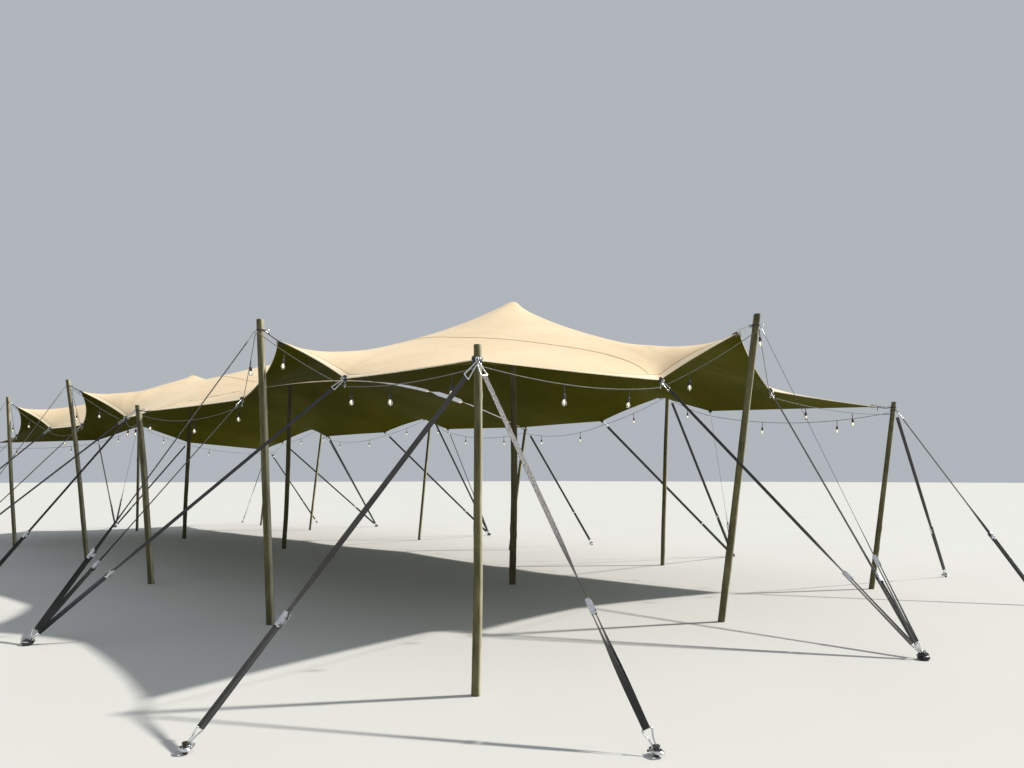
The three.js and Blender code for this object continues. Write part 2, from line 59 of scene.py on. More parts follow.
def makeCamera():
    data = bpy.data.cameras.new("view")
    data.lens = camera["lens"]
    data.sensor_width = camera["sensor"]
    data.clip_end = camera["clipEnd"]
    view = newObject("view", data)
    view.location = camera["place"]
    view.rotation_euler = (math.radians(90 + camera["tilt"]), 0, math.radians(camera["turn"]))
    bpy.context.scene.camera = view


makeCamera()

# where everything stands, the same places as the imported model: each pole's foot, top, and radius at both
poles = {
    "near_right_corner_pole": ((9.92, -3.5), (10.012, -3.577, 2.46), (0.034, 0.029)),
    "near_side_pole_1": ((6.52, -3.51), (6.45, -3.73, 3.2), (0.043, 0.039)),
    "near_joint_pole": ((2.5, -3.54), (2.33, -3.82, 2.57), (0.045, 0.042)),
    "near_side_pole_2": ((-1.32, -3.56), (-1.6, -4.03, 3.32), (0.04, 0.038)),
    "near_side_pole_3": ((-5.8, -4.05), (-5.85, -4.41, 3.32), (0.04, 0.037)),
    "near_left_corner_pole": ((-9.6, -4.15), (-9.7, -4.29, 2.5), (0.036, 0.031)),
    "right_end_pole": ((9.52, 0.13), (10.05, 0.19, 3.235), (0.038, 0.036)),
    "far_right_corner_pole": ((9.54, 3.72), (9.91, 3.93, 2.56), (0.036, 0.032)),
    "far_side_pole_1": ((5.92, 3.84), (5.93, 4.11, 3.12), (0.037, 0.034)),
    "far_joint_pole": ((2.05, 3.7), (2.22, 4, 2.63), (0.035, 0.032)),
    "far_side_pole_2": ((-1.38, 3.72), (-1.38, 4.03, 3.18), (0.036, 0.033)),
    "far_side_pole_3": ((-6.4, 3.3), (-6.48, 3.64, 3.15), (0.036, 0.033)),
    "far_left_corner_pole": ((-9.55, 3.15), (-9.69, 3.34, 2.5), (0.035, 0.031)),
    "left_end_pole": ((-9.38, -0.6), (-9.84, -0.62, 3.2), (0.038, 0.035)),
}
# each centre pole's foot, and how high it holds the sheet
centrePoles = {
    "centre_pole_1": ((5.95, 0.33), 4.13),
    "centre_pole_2": ((-1.38, 0.22), 4.08),
    "centre_pole_3": ((-5.65, -0.48), 4.15),
}
# where the sheets are tied: high at the poles, low between them
tips = {
    "nearRight": (9.76, -3.4, 2.4), "near1Low1": (7.47, -3.25, 2.5), "near1": (6.5, -3.54, 2.99),
    "near1Low2": (4.82, -3.25, 2.5), "nearJoint": (2.36, -3.69, 2.49),
    "near2Low1": (-0.25, -3.33, 2.57), "near2": (-1.48, -3.84, 3.12), "near2Low2": (-2.9, -3.48, 2.58),
    "near3Low1": (-4.8, -3.72, 2.59), "near3": (-5.83, -4.23, 3.11), "near3Low2": (-7.5, -3.96, 2.54),
    "nearLeft": (-9.52, -4.11, 2.43), "right1Low1": (9.25, -0.46, 2.55), "right1": (9.83, 0.18, 3.07),
    "right1Low2": (9.3, 1.71, 2.6), "farRight": (9.71, 3.83, 2.5), "far1Low1": (7.15, 3.6, 2.6),
    "far1": (5.93, 3.92, 2.96), "far1Low2": (4.78, 3.6, 2.57), "farJoint": (2.29, 3.82, 2.59),
    "far2Low1": (0.06, 3.5, 2.65), "far2": (-1.38, 3.85, 3.01), "far2Low2": (-2.71, 3.5, 2.7),
    "far3Low1": (-5.4, 3.23, 2.7), "far3": (-6.6, 3.43, 2.99), "far3Low2": (-8, 3.07, 2.62),
    "farLeft": (-9.5, 3.14, 2.43), "left1Low1": (-9.22, 0.64, 2.58), "left1": (-9.65, -0.62, 3.05),
    "left1Low2": (-9.22, -1.8, 2.57),
}
# pole, tip and stake of each guy; its two low straps go to the ties beside that tip
sideGuys = {
    "near_side_guy_1": ("near_side_pole_1", "near1", (6, -5.57)),
    "near_side_guy_2": ("near_side_pole_2", "near2", (-1.7, -5.8)),
    "near_side_guy_3": ("near_side_pole_3", "near3", (-5.9, -6.06)),
    "right_end_guy": ("right_end_pole", "right1", (11.58, -0.055)),
    "far_side_guy_1": ("far_side_pole_1", "far1", (5.9, 6.06)),
    "far_side_guy_2": ("far_side_pole_2", "far2", (-1.38, 5.95)),
    "far_side_guy_3": ("far_side_pole_3", "far3", (-6.5, 5.6)),
    "left_end_guy": ("left_end_pole", "left1", (-11.58, -0.64)),
}
# pole and stake of each single strap, its drop from the pole's top, and the tip that is tied there
cornerStraps = {
    "near_right_strap_near": ("near_right_corner_pole", (9.73, -5.39), 0.164, None),
    "near_right_strap_right": ("near_right_corner_pole", (11.47, -3.48), 0.122, "nearRight"),
    "near_joint_strap": ("near_joint_pole", (2.25, -5.6), 0.08, "nearJoint"),
    "near_left_strap_near": ("near_left_corner_pole", (-9.7, -6.01), 0.08, "nearLeft"),
    "near_left_strap_left": ("near_left_corner_pole", (-11.46, -4.25), 0.118, None),
    "far_right_strap_far": ("far_right_corner_pole", (9.75, 5.85), 0.08, "farRight"),
    "far_right_strap_right": ("far_right_corner_pole", (11.48, 3.85), 0.118, None),
    "far_joint_strap": ("far_joint_pole", (2.38, 5.88), 0.08, "farJoint"),
    "far_left_strap_far": ("far_left_corner_pole", (-9.65, 5.15), 0.08, "farLeft"),
    "far_left_strap_left": ("far_left_corner_pole", (-11.45, 3.3), 0.118, None),
}
# each tie of a string, the cable's sag to the next one, and where on that span its lamps hang, if known
festoons = {
    "festoon_near": {"inward": (0, 1), "tieDrop": 0.15, "ties": [
        ("corner_near_side", 0.05, (0.17, 0.59, 0.93)), ("near1Low1", 0.03, (0.68,)),
        ("side_pole_right", 0, ()), ("side_pole_left", 0.03, (0.3,)),
        ("near1Low2", 0.13, (0.03, 0.43, 0.9)), ("near_joint_pole", 0.12, (0.3, 0.8)),
        ("near2Low1", 0.04, (0.47,)), ("near_side_pole_2", 0.04), ("near2Low2", 0.11),
        ("near3Low1", 0.04), ("near_side_pole_3", 0.05), ("near3Low2", 0.11),
        ("near_left_corner_pole", 0),
    ]},
    "festoon_right": {"inward": (-1, 0), "tieDrop": 0.172, "ties": [
        ("corner_right_side", 0.08, (0.39, 0.77)), ("right1Low1", 0.035, (0.3,)),
        ("end_pole", 0.04, (0,)), ("right1Low2", 0.06, (0.27, 0.66)), ("far_right_corner_pole", 0),
    ]},
    "festoon_far": {"inward": (0, -1), "tieDrop": 0.15, "ties": [
        ("far_right_corner_pole", 0.13, (0.27, 0.68)), ("far1Low1", 0.04), ("far_side_pole_1", 0.04),
        ("far1Low2", 0.13), ("far_joint_pole", 0.12), ("far2Low1", 0.04), ("far_side_pole_2", 0.04),
        ("far2Low2", 0.13), ("far3Low1", 0.04), ("far_side_pole_3", 0.05), ("far3Low2", 0.09),
        ("far_left_corner_pole", 0),
    ]},
    "festoon_left": {"inward": (1, 0), "tieDrop": 0.172, "ties": [
        ("far_left_corner_pole", 0.09), ("left1Low1", 0.04), ("left_end_pole", 0.04),
        ("left1Low2", 0.09), ("near_left_corner_pole", 0),
    ]},
}


def addNode(tree, kind, inputs=(), **settings):
    node = tree.nodes.new(kind)
    for key, value in settings.items():
        setattr(node, key, value)
    for key, value in dict(inputs).items():
        if isinstance(value, bpy.types.NodeSocket):
            tree.links.new(value, node.inputs[key])
        else:
            node.inputs[key].default_value = value
    return node


def newMaterial(name, **values):
    # a material with its shader's plain values, and the Object coordinates its patterns read
    material = bpy.data.materials.new(name)
    material.use_nodes = True
    tree = material.node_tree
    shader = tree.nodes["Principled BSDF"]
    for socket, value in values.items():
        shader.inputs[socket.replace("_", " ")].default_value = value
    return material, tree, shader, addNode(tree, "ShaderNodeTexCoord").outputs["Object"]


def colourRamp(tree, factor, *stops):
    ramp = addNode(tree, "ShaderNodeValToRGB", {"Fac": factor})
    elements = ramp.color_ramp.elements
    while len(elements) < len(stops):
        elements.new(0.5)
    for element, (place, colour) in zip(elements, stops):
        element.position = place
        element.color = (*colour, 1)
    return ramp.outputs["Color"]


def stretched(tree, vector, scale):
    return addNode(tree, "ShaderNodeMapping", {"Vector": vector, "Scale": scale}).outputs["Vector"]


def noiseOf(tree, vector, scale, detail=4, roughness=0.55, stretch=None):
    if stretch:
        vector = stretched(tree, vector, stretch)
    inputs = {"Vector": vector, "Scale": scale, "Detail": detail, "Roughness": roughness}
    return addNode(tree, "ShaderNodeTexNoise", inputs).outputs["Fac"]


def waveOf(tree, vector, scale, distortion, direction="X", detail=2):
    inputs = {"Vector": vector, "Scale": scale, "Distortion": distortion, "Detail": detail}
    return addNode(tree, "ShaderNodeTexWave", inputs, bands_direction=direction).outputs["Fac"]


def cellsOf(tree, vector, scale):
    return addNode(tree, "ShaderNodeTexVoronoi", {"Vector": vector, "Scale": scale}).outputs["Distance"]


def bumpOn(tree, shader, height, strength, distance, under=None):
    settings = {"Height": height, "Strength": strength, "Distance": distance}
    if under:
        settings["Normal"] = under
    bump = addNode(tree, "ShaderNodeBump", settings)
    tree.links.new(bump.outputs["Normal"], shader.inputs["Normal"])
    return bump.outputs["Normal"]


def roughnessFrom(tree, shader, value, least, most, start=0, end=1):
    inputs = {"Value": value, "From Min": start, "From Max": end, "To Min": least, "To Max": most}
    span = addNode(tree, "ShaderNodeMapRange", inputs)
    tree.links.new(span.outputs["Result"], shader.inputs["Roughness"])


def mixed(tree, factor, first, second, blend="MIX"):
    node = addNode(tree, "ShaderNodeMix", data_type="RGBA", blend_type=blend)
    for key, value in ((0, factor), (6, first), (7, second)):
        if isinstance(value, bpy.types.NodeSocket):
            tree.links.new(value, node.inputs[key])
        else:
            node.inputs[key].default_value = value if key == 0 else (*value, 1)
    return node.outputs[2]


# the sheets' cloth: knitted stretch fabric, sand above; below, its dark olive is painted shade; each from
# worn to bright
cloth = {
    "above": ((0.71, 0.55, 0.345), (0.80, 0.63, 0.405), (0.86, 0.70, 0.47)),
    "below": ((0.055, 0.053, 0.002), (0.073, 0.070, 0.003), (0.097, 0.092, 0.007)),
    "hem": ((0.80, 0.64, 0.42), (0.93, 0.79, 0.56), (0.93, 0.79, 0.56)),
    "broad": (0.55, 6, 0.6), "broadStops": (0.32, 0.5, 0.68),
    "streaks": (1.3, 4, 0.6), "streakStretch": (1, 5, 1), "streakStops": (0.3, 0.7), "streakShare": 0.12,
    "streakBump": (0.12, 0.02), "fine": (9, 5, 0.62), "fineBump": (0.12, 0.003), "rough": (0.66, 0.9),
    "dust": (0.3, 0.3, 0.3), "dustStops": (0.35, 0.65), "dustShare": 0.08,
    "knit": 420, "knitBump": (0.25, 0.0006),
}


def makeCloth(name, shades, sheen=0.1, specular=0.4):
    material, tree, shader, place = newMaterial(name, Sheen_Weight=sheen, Sheen_Roughness=0.5,
                                                Specular_IOR_Level=specular)
    broad = noiseOf(tree, place, *cloth["broad"])
    fine = noiseOf(tree, place, *cloth["fine"])
    streaks = noiseOf(tree, place, *cloth["streaks"], stretch=cloth["streakStretch"])
    colour = colourRamp(tree, broad, *zip(cloth["broadStops"], shades))
    streaked = colourRamp(tree, streaks, *zip(cloth["streakStops"], (shades[0], shades[2])))
    colour = mixed(tree, cloth["streakShare"], colour, streaked)
    dusty = colourRamp(tree, fine, *zip(cloth["dustStops"], (cloth["dust"], white)))
    colour = mixed(tree, cloth["dustShare"], colour, dusty, "MULTIPLY")
    tree.links.new(colour, shader.inputs["Base Color"])
    roughnessFrom(tree, shader, fine, *cloth["rough"])
    folded = bumpOn(tree, shader, streaks, *cloth["streakBump"])
    creased = bumpOn(tree, shader, fine, *cloth["fineBump"], folded)
    bumpOn(tree, shader, cellsOf(tree, place, cloth["knit"]), *cloth["knitBump"], creased)
    return material


# debarked eucalyptus: grey-brown, with long grain, dark knots and splits; painted sunlight lightens its side
# towards the sun, and painted shade darkens the rest
wood = {
    "paintedShade": ((0.030, 0.027, 0.010), (0.080, 0.072, 0.026), (0.185, 0.168, 0.074)),
    "paintedSunlit": ((0.17, 0.155, 0.105), (0.40, 0.375, 0.265), (0.72, 0.68, 0.50)),
    "paintedSunTurn": 56, "paintedLightStart": 0.3, "paintedLightFull": 0.75,
    "grain": (70, 6, 0.65), "grainStretch": (1, 1, 0.06), "grainStops": (0.3, 0.48, 0.66),
    "broad": (3.2, 5, 0.6), "broadStretch": (1, 1, 0.5), "broadStops": (0.32, 0.5, 0.7), "broadShare": 0.45,
    "splits": (46, 3, 0.5), "splitStretch": (1, 1, 0.035), "splitStops": (0.29, 0.34),
    "splitShade": (0.12, 0.09, 0.06), "splitShare": 0.85,
    "grainBump": (0.5, 0.002), "splitBump": (0.8, 0.003),
    "knots": 3.1, "knotStretch": (1, 1, 0.55), "knotStops": (0.05, 0.13), "knotShade": (0.3, 0.22, 0.15),
    "knotShare": 0.8,
}


def woodShades(tree, grain, broad, shades):
    colour = colourRamp(tree, grain, *zip(wood["grainStops"], shades))
    return mixed(tree, wood["broadShare"], colour, colourRamp(tree, broad, *zip(wood["broadStops"], shades)))


def makeWood():
    material, tree, shader, place = newMaterial("debarked wood, painted sunlit and shaded", Roughness=0.8)
    grain = noiseOf(tree, place, *wood["grain"], stretch=wood["grainStretch"])
    broad = noiseOf(tree, place, *wood["broad"], stretch=wood["broadStretch"])
    splits = noiseOf(tree, place, *wood["splits"], stretch=wood["splitStretch"])
    knots = cellsOf(tree, stretched(tree, place, wood["knotStretch"]), wood["knots"])
    paintedSunlitShare = addNode(tree, "ShaderNodeAttribute", attribute_name="paintedSunlitShare").outputs["Fac"]
    paintedShade, paintedSunlit = (woodShades(tree, grain, broad, wood[side]) for side in ("paintedShade", "paintedSunlit"))
    # painted shade and painted sunlight, mixed by how far each place faces the sun
    colour = mixed(tree, paintedSunlitShare, paintedShade, paintedSunlit)
    crack = colourRamp(tree, splits, *zip(wood["splitStops"], (wood["splitShade"], white)))
    colour = mixed(tree, wood["splitShare"], colour, crack, "MULTIPLY")
    knotty = colourRamp(tree, knots, *zip(wood["knotStops"], (wood["knotShade"], white)))
    colour = mixed(tree, wood["knotShare"], colour, knotty, "MULTIPLY")
    tree.links.new(colour, shader.inputs["Base Color"])
    grained = bumpOn(tree, shader, grain, *wood["grainBump"])
    bumpOn(tree, shader, crack, *wood["splitBump"], grained)
    return material


# black polyester, greyed a little by wear, woven along and across the strap, with painted shade in the
# hollows of the weave
weave = {
    "shades": ((0.3, (0.006, 0.0065, 0.0075)), (0.55, (0.011, 0.0115, 0.013)), (0.75, (0.024, 0.025, 0.026))),
    "fade": (4, 5, 0.6), "across": (90, 0.6, "X"), "along": (150, 0.4, "Y"),
    "hollowShade": (0.35, 0.35, 0.35), "hollowShadeStops": (0, 0.8), "hollowShadeShare": 0.5, "bump": (0.6, 0.0012),
}


def makeWebbing():
    material, tree, shader, place = newMaterial("strap webbing", Roughness=0.36, Specular_IOR_Level=0.6)
    layout = addNode(tree, "ShaderNodeUVMap", uv_map="UVMap").outputs["UV"]
    across, along = (waveOf(tree, layout, *weave[way]) for way in ("across", "along"))
    height = addNode(tree, "ShaderNodeMath", {0: across, 1: along}, operation="MULTIPLY").outputs["Value"]
    colour = colourRamp(tree, noiseOf(tree, place, *weave["fade"]), *weave["shades"])
    # painted shade: darker where the weave's height is low
    weaveShade = colourRamp(tree, height, *zip(weave["hollowShadeStops"], (weave["hollowShade"], white)))
    colour = mixed(tree, weave["hollowShadeShare"], colour, weaveShade, "MULTIPLY")
    tree.links.new(colour, shader.inputs["Base Color"])
    bumpOn(tree, shader, height, *weave["bump"])
    return material


# bare metal with darker wear marks, which are also rougher or smoother, and spots of rust
metal = {
    "marks": (55, 5, 0.7), "markStops": (0.35, 0.6), "worn": 0.72, "scratch": 0.15, "scratchSpan": (0.3, 0.7),
    "spots": (21, 6, 0.7), "bump": (0.25, 0.001), "rust": (0.075, 0.05, 0.034),
    "rustStops": ((0.62, 0.25), (0.72, 0.2)),  # each with how far full rust lowers it
}


def makeMetal(name, base, roughness, rust=0, glow=0):
    # the more rust, the wider its spots; glow is for the lit filament
    material, tree, shader, place = newMaterial(name, Metallic=0.95, Emission_Color=(*base, 1),
                                                Emission_Strength=glow)
    marks = noiseOf(tree, place, *metal["marks"])
    spots = noiseOf(tree, place, *metal["spots"])
    worn = [channel * metal["worn"] for channel in base]
    colour = colourRamp(tree, marks, *zip(metal["markStops"], (worn, base)))
    if rust:
        stops = [stop - lower * rust for stop, lower in metal["rustStops"]]
        patch = colourRamp(tree, spots, *zip(stops, (black, white)))
        colour = mixed(tree, patch, colour, metal["rust"])
    tree.links.new(colour, shader.inputs["Base Color"])
    roughnessFrom(tree, shader, marks, roughness, roughness + metal["scratch"], *metal["scratchSpan"])
    bumpOn(tree, shader, spots, *metal["bump"])
    return material


# twisted strands: painted light on their crests and painted shade in the grooves between them
cordStrands = {"wave": (55, 2.5, "DIAGONAL", 1), "stops": (0.1, 0.8), "bump": (0.8, 0.0015)}


def makeRope(name, grooveShade, crestLight):
    material, tree, shader, place = newMaterial(name, Roughness=0.85, Sheen_Weight=0.15)
    strands = waveOf(tree, place, *cordStrands["wave"])
    colour = colourRamp(tree, strands, *zip(cordStrands["stops"], (grooveShade, crestLight)))
    tree.links.new(colour, shader.inputs["Base Color"])
    bumpOn(tree, shader, strands, *cordStrands["bump"])
    return material


def makePlain(name, dirt, stops, rough=None, ribs=None, grain=None, bump=None, **values):
    # two shades with dirt between them, and a surface raised by its ribs, its grain or the dirt
    material, tree, shader, place = newMaterial(name, **values)
    dirt = noiseOf(tree, place, *dirt)
    tree.links.new(colourRamp(tree, dirt, *stops), shader.inputs["Base Color"])
    if rough:
        roughnessFrom(tree, shader, dirt, *rough)
    height = dirt
    if ribs:
        height = waveOf(tree, place, *ribs)
    elif grain:
        height = noiseOf(tree, place, *grain)
    if bump:
        bumpOn(tree, shader, height, *bump)
    return material


sunCloth = makeCloth("stretch fabric above", cloth["above"])
# the cloth below: the same cloth, its dark olive colour being painted shade
paintedShadeCloth = makeCloth("stretch fabric below, painted shade", cloth["below"], 0, 0.02)
hemCloth = makeCloth("doubled hem", cloth["hem"])
edgeTape = makePlain("edge tape", (6, 5, 0.65), ((0.35, (0.66, 0.57, 0.42)), (0.6, (0.84, 0.76, 0.60))),
                     ribs=(60, 1.5), bump=(0.2, 0.0008), Roughness=0.6)
# welds and stitching: darker strips, partly the welds' own tone and partly painted shade in the groove along
# them
seamAndGrooveShade = makePlain("weld seam with painted groove shade", (5, 5, 0.6), ((0.35, (0.40, 0.30, 0.165)), (0.65, (0.50, 0.38, 0.215))),
                     grain=(160, 3), bump=(0.2, 0.0006), Roughness=0.55)
debarkedWood = makeWood()
webbing = makeWebbing()
chrome = makeMetal("ratchet chrome", (0.78, 0.79, 0.80), 0.2, rust=0.15)
steel = makeMetal("stake steel", (0.12, 0.115, 0.11), 0.5, rust=0.35)
blackRope = makeRope("black cord", (0.008, 0.008, 0.009), (0.045, 0.046, 0.05))
paleRope = makeRope("lacing cord", (0.25, 0.23, 0.19), (0.62, 0.6, 0.54))
cableRubber = makePlain("cable rubber", (30, 5, 0.65),
                        ((0.4, (0.11, 0.11, 0.095)), (0.75, (0.26, 0.26, 0.225))),
                        rough=(0.35, 0.6), bump=(0.12, 0.0006))
socketPlastic = makePlain("socket plastic", (30, 5, 0.65),
                          ((0.4, (0.012, 0.012, 0.013)), (0.75, (0.06, 0.06, 0.06))),
                          rough=(0.32, 0.57), bump=(0.12, 0.0006))
bulbGlass = makePlain("bulb glass", (25, 4, 0.6), ((0.35, (0.86, 0.87, 0.86)), (0.65, (0.97, 0.97, 0.96))),
                      rough=(0.02, 0.09), IOR=1.45, Transmission_Weight=0.85)
filament = makeMetal("bulb filament", (0.95, 0.80, 0.50), 0.3, glow=2)
print("materials made")


def linkPiece(name, data, materials, replaced=()):
    piece = newObject(name, data)
    for material in materials:
        data.materials.append(material)
    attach(piece, "root")
    if replaced:
        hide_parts(*replaced)
    return piece


def asMesh(shape, name):
    mesh = bpy.data.meshes.new(name)
    shape.to_mesh(mesh)
    shape.free()
    return mesh


def thicken(shape, thick):
    bmesh.ops.recalc_face_normals(shape, faces=shape.faces)
    bmesh.ops.solidify(shape, geom=list(shape.faces), thickness=thick)


def rounded(shape, edges, rim):
    bmesh.ops.bevel(shape, geom=list(edges), offset=rim, segments=2, profile=0.5, affect="EDGES", material=-1)


def pour(mesh, target):
    # adds a mesh to the shape that a piece is gathered in
    target.from_mesh(mesh)
    bpy.data.meshes.remove(mesh)


def pourCopy(pattern, target, matrix):
    placed = pattern.copy()
    placed.transform(matrix)
    pour(placed, target)


def meshPiece(name, shape, materials, replaced=(), sharp=38):
    bmesh.ops.recalc_face_normals(shape, faces=shape.faces)
    for face in shape.faces:
        face.smooth = True
    mesh = asMesh(shape, name)
    mesh.set_sharp_from_angle(angle=math.radians(sharp))
    return linkPiece(name, mesh, materials, replaced)


def smoothLine(points, steps):
    # a rounded line through the points
    points = [Vector(point) for point in points]
    line = []
    for k in range(len(points) - 1):
        before, start = points[max(k - 1, 0)], points[k]
        end, after = points[k + 1], points[min(k + 2, len(points) - 1)]
        for step in range(steps):
            t = step / steps
            square = 2 * before - 5 * start + 4 * end - after
            cube = 3 * start - before - 3 * end + after
            line.append(0.5 * (2 * start + (end - before) * t + square * t * t + cube * t ** 3))
    line.append(points[-1])
    return line


def wirePiece(name, lines, radius, material, replaced=()):
    curve = bpy.data.curves.new(name, "CURVE")
    curve.dimensions = "3D"
    curve.bevel_depth = radius
    curve.bevel_resolution = 2
    curve.use_fill_caps = True
    for line in lines:
        spline = curve.splines.new("POLY")
        spline.points.add(len(line) - 1)
        for point, place in zip(spline.points, line):
            point.co = (*place, 1)
    return linkPiece(name, curve, [material], replaced)


def around(angle, radius, height=0):
    return Vector((math.cos(angle) * radius, math.sin(angle) * radius, height))


def level(way):
    return Vector((way.x, way.y, 0)).normalized()


def eased(share):
    return share * share * (3 - 2 * share)


def facing(start, end, side=None):
    # matrix with its Z from start to end and its X level, or towards side
    lengthways = (end - start).normalized()
    across = (up.cross(lengthways) if side is None else side).normalized()
    across = (across - lengthways * across.dot(lengthways)).normalized()
    turn = Matrix((across, lengthways.cross(across), lengthways)).transposed().to_4x4()
    return Matrix.Translation(start) @ turn


def onPole(pole, drop):
    foot, top, girth = pole
    point = Vector((*foot, 0)).lerp(Vector(top), 1 - drop / top[2])
    point.z = top[2] - drop
    return point


def radiusAt(pole, drop):
    foot, top, girth = pole
    return girth[1] + (girth[0] - girth[1]) * drop / top[2]


# festoon strings: cable, tied to the poles and to the hooks under the low ties
string = {"radius": 0.004, "step": 0.045, "leastSteps": 6, "sweeps": 3, "spacing": 1.3, "gap": 0.0003,
          "hookDrop": 0.0823}
passes = {  # ties that pass a pole further out, higher or round its outside
    "corner_near_side": {"pole": "near_right_corner_pole", "standoff": 0.013},
    "corner_right_side": {"pole": "near_right_corner_pole", "standoff": 0.013, "rise": 0.035},
    "side_pole_right": {"pole": "near_side_pole_1", "standoff": 0.009, "side": (0.52, -0.85)},
    "side_pole_left": {"pole": "near_side_pole_1", "standoff": 0.009, "side": (-0.5, -0.86)},
    "end_pole": {"pole": "right_end_pole", "standoff": 0.013, "side": (0.976, -0.215)},
}


def festoonTie(name, inward, drop):
    way = passes.get(name, {"pole": name})
    if way["pole"] in poles:
        pole = poles[way["pole"]]
        drop -= way.get("rise", 0)
        reach = radiusAt(pole, drop) + string["radius"] + string["gap"] + way.get("standoff", 0)
        return onPole(pole, drop) + Vector((*way.get("side", inward), 0)) * reach
    return Vector(tips[name]) - up * string["hookDrop"]


def festoonSpans(festoon):
    ties = [festoonTie(tie[0], festoon["inward"], festoon["tieDrop"]) for tie in festoon["ties"]]
    spans = []
    for k, tie in enumerate(festoon["ties"][:-1]):
        start, end = ties[k], ties[k + 1]
        middle = (start + end) / 2 - up * 2 * tie[1]
        spans.append((start, middle, end, tie[2] if len(tie) > 2 else None))
    return ties, spans


def onSpan(span, t):
    start, middle, end = span[:3]
    return start * (1 - t) ** 2 + middle * 2 * t * (1 - t) + end * t * t


lampPlaces = {}


def makeFestoonCables():
    for name, festoon in festoons.items():
        ties, spans = festoonSpans(festoon)
        line = []
        for span in spans:
            steps = max(string["leastSteps"], round((span[2] - span[0]).length / string["step"]))
            line += [onSpan(span, step / steps) for step in range(steps)]
        line.append(ties[-1])
        for sweep in range(string["sweeps"]):  # rounds the cable's turn at each tie
            inner = [(line[k - 1] + line[k] * 2 + line[k + 1]) / 4 for k in range(1, len(line) - 1)]
            line = [line[0], *inner, line[-1]]
        cable = wirePiece(name + "_cable", [line], string["radius"], cableRubber, (name,))
        measured = sum((line[k + 1] - line[k]).length for k in range(len(line) - 1))
        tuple(line[0])
        lampPlaces[name] = []
        for span in spans:
            count = max(1, round((span[2] - span[0]).length / string["spacing"]))
            shares = [(n + 0.5) / count for n in range(count)] if span[3] is None else span[3]
            lampPlaces[name] += [onSpan(span, share) for share in shares]
        print(name, "cable", round(measured, 2), "m,", len(lampPlaces[name]), "lamps")


makeFestoonCables()

# the sheets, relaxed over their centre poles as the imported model's are, on a finer grid
sheetForm = {
    "cells": 6, "jointCells": 24, "softness": 0.12, "growth": 6, "width": 0.4, "passes": 900, "factor": 1.93,
    "slit": 0.014, "rise": 0.7, "bow": 0.12, "thick": 0.004, "cap": 0.1, "capDrop": 0.04,
}
toFar, toNear, toRight, toLeft = (0, 1, 0), (0, -1, 0), (1, 0, 0), (-1, 0, 0)


def sideLine(stops, sags, inward):
    # one side of a sheet through its ties, each with its cell along that side, drawn in between them
    line = []
    for k, sag in enumerate(sags):
        (start, first), (end, last) = stops[k], stops[k + 1]
        start, end = np.array(tips[start]), np.array(tips[end])
        count = (last - first) * sheetForm["cells"]
        for step in range(count):
            t = step / count
            line.append(start + (end - start) * t + np.array(inward) * 4 * t * (1 - t) * sag)
    line.append(np.array(tips[stops[-1][0]]))
    return np.array(line)


def jointLine(side):
    t = np.linspace(0, 1, sheetForm["jointCells"] * sheetForm["cells"] + 1)[:, None]
    start, end = np.array(tips["nearJoint"]), np.array(tips["farJoint"])
    arch = np.sin(np.pi * t) * np.array([sheetForm["bow"], 0, sheetForm["rise"]])
    return start + (end - start) * t + arch + np.array([side * sheetForm["slit"] / 2, 0, 0])


# peaks: pole, column and row; ridges: pole, tip and pull of the tension lines between them
sheets = {
    "canopy_right": {
        "near": sideLine([("nearJoint", 0), ("near1Low2", 8), ("near1", 14), ("near1Low1", 17),
                          ("nearRight", 24)], [0.04, 0.09, 0.06, 0.04], toFar),
        "far": sideLine([("farJoint", 0), ("far1Low2", 8), ("far1", 12), ("far1Low1", 16), ("farRight", 24)],
                        [0.04, 0.07, 0.07, 0.04], toNear),
        "left": jointLine(1),
        "right": sideLine([("nearRight", 0), ("right1Low1", 10), ("right1", 12), ("right1Low2", 17),
                           ("farRight", 24)], [0.04, 0.05, 0.04, 0.04], toLeft),
        "peaks": [("centre_pole_1", 12, 12)],
        "power": 0.6,
        "ridges": [("centre_pole_1", "right1", 1.5)],
        "flat": (7.5, 7.5),
    },
    "canopy_left": {
        "near": sideLine([("nearLeft", 0), ("near3Low2", 6), ("near3", 11), ("near3Low1", 14),
                          ("near2Low2", 20), ("near2", 24), ("near2Low1", 28), ("nearJoint", 36)],
                         [0.04, 0.08, 0.06, 0.06, 0.08, 0.06, 0.04], toFar),
        "far": sideLine([("farLeft", 0), ("far3Low2", 5), ("far3", 10), ("far3Low1", 13),
                         ("far2Low2", 20), ("far2", 24), ("far2Low1", 28), ("farJoint", 36)],
                        [0.04, 0.08, 0.06, 0.06, 0.08, 0.08, 0.04], toNear),
        "left": sideLine([("nearLeft", 0), ("left1Low2", 8), ("left1", 12), ("left1Low1", 16),
                          ("farLeft", 24)], [0.04, 0.06, 0.06, 0.04], toRight),
        "right": jointLine(-1),
        "peaks": [("centre_pole_2", 24, 12), ("centre_pole_3", 12, 12)],
        "power": 0.8,
        "ridges": [("centre_pole_3", "left1", 1), ("centre_pole_3", "near3", 1),
                   ("centre_pole_2", "near2", 5)],
        "flat": (11.5, 7.3),
    },
}


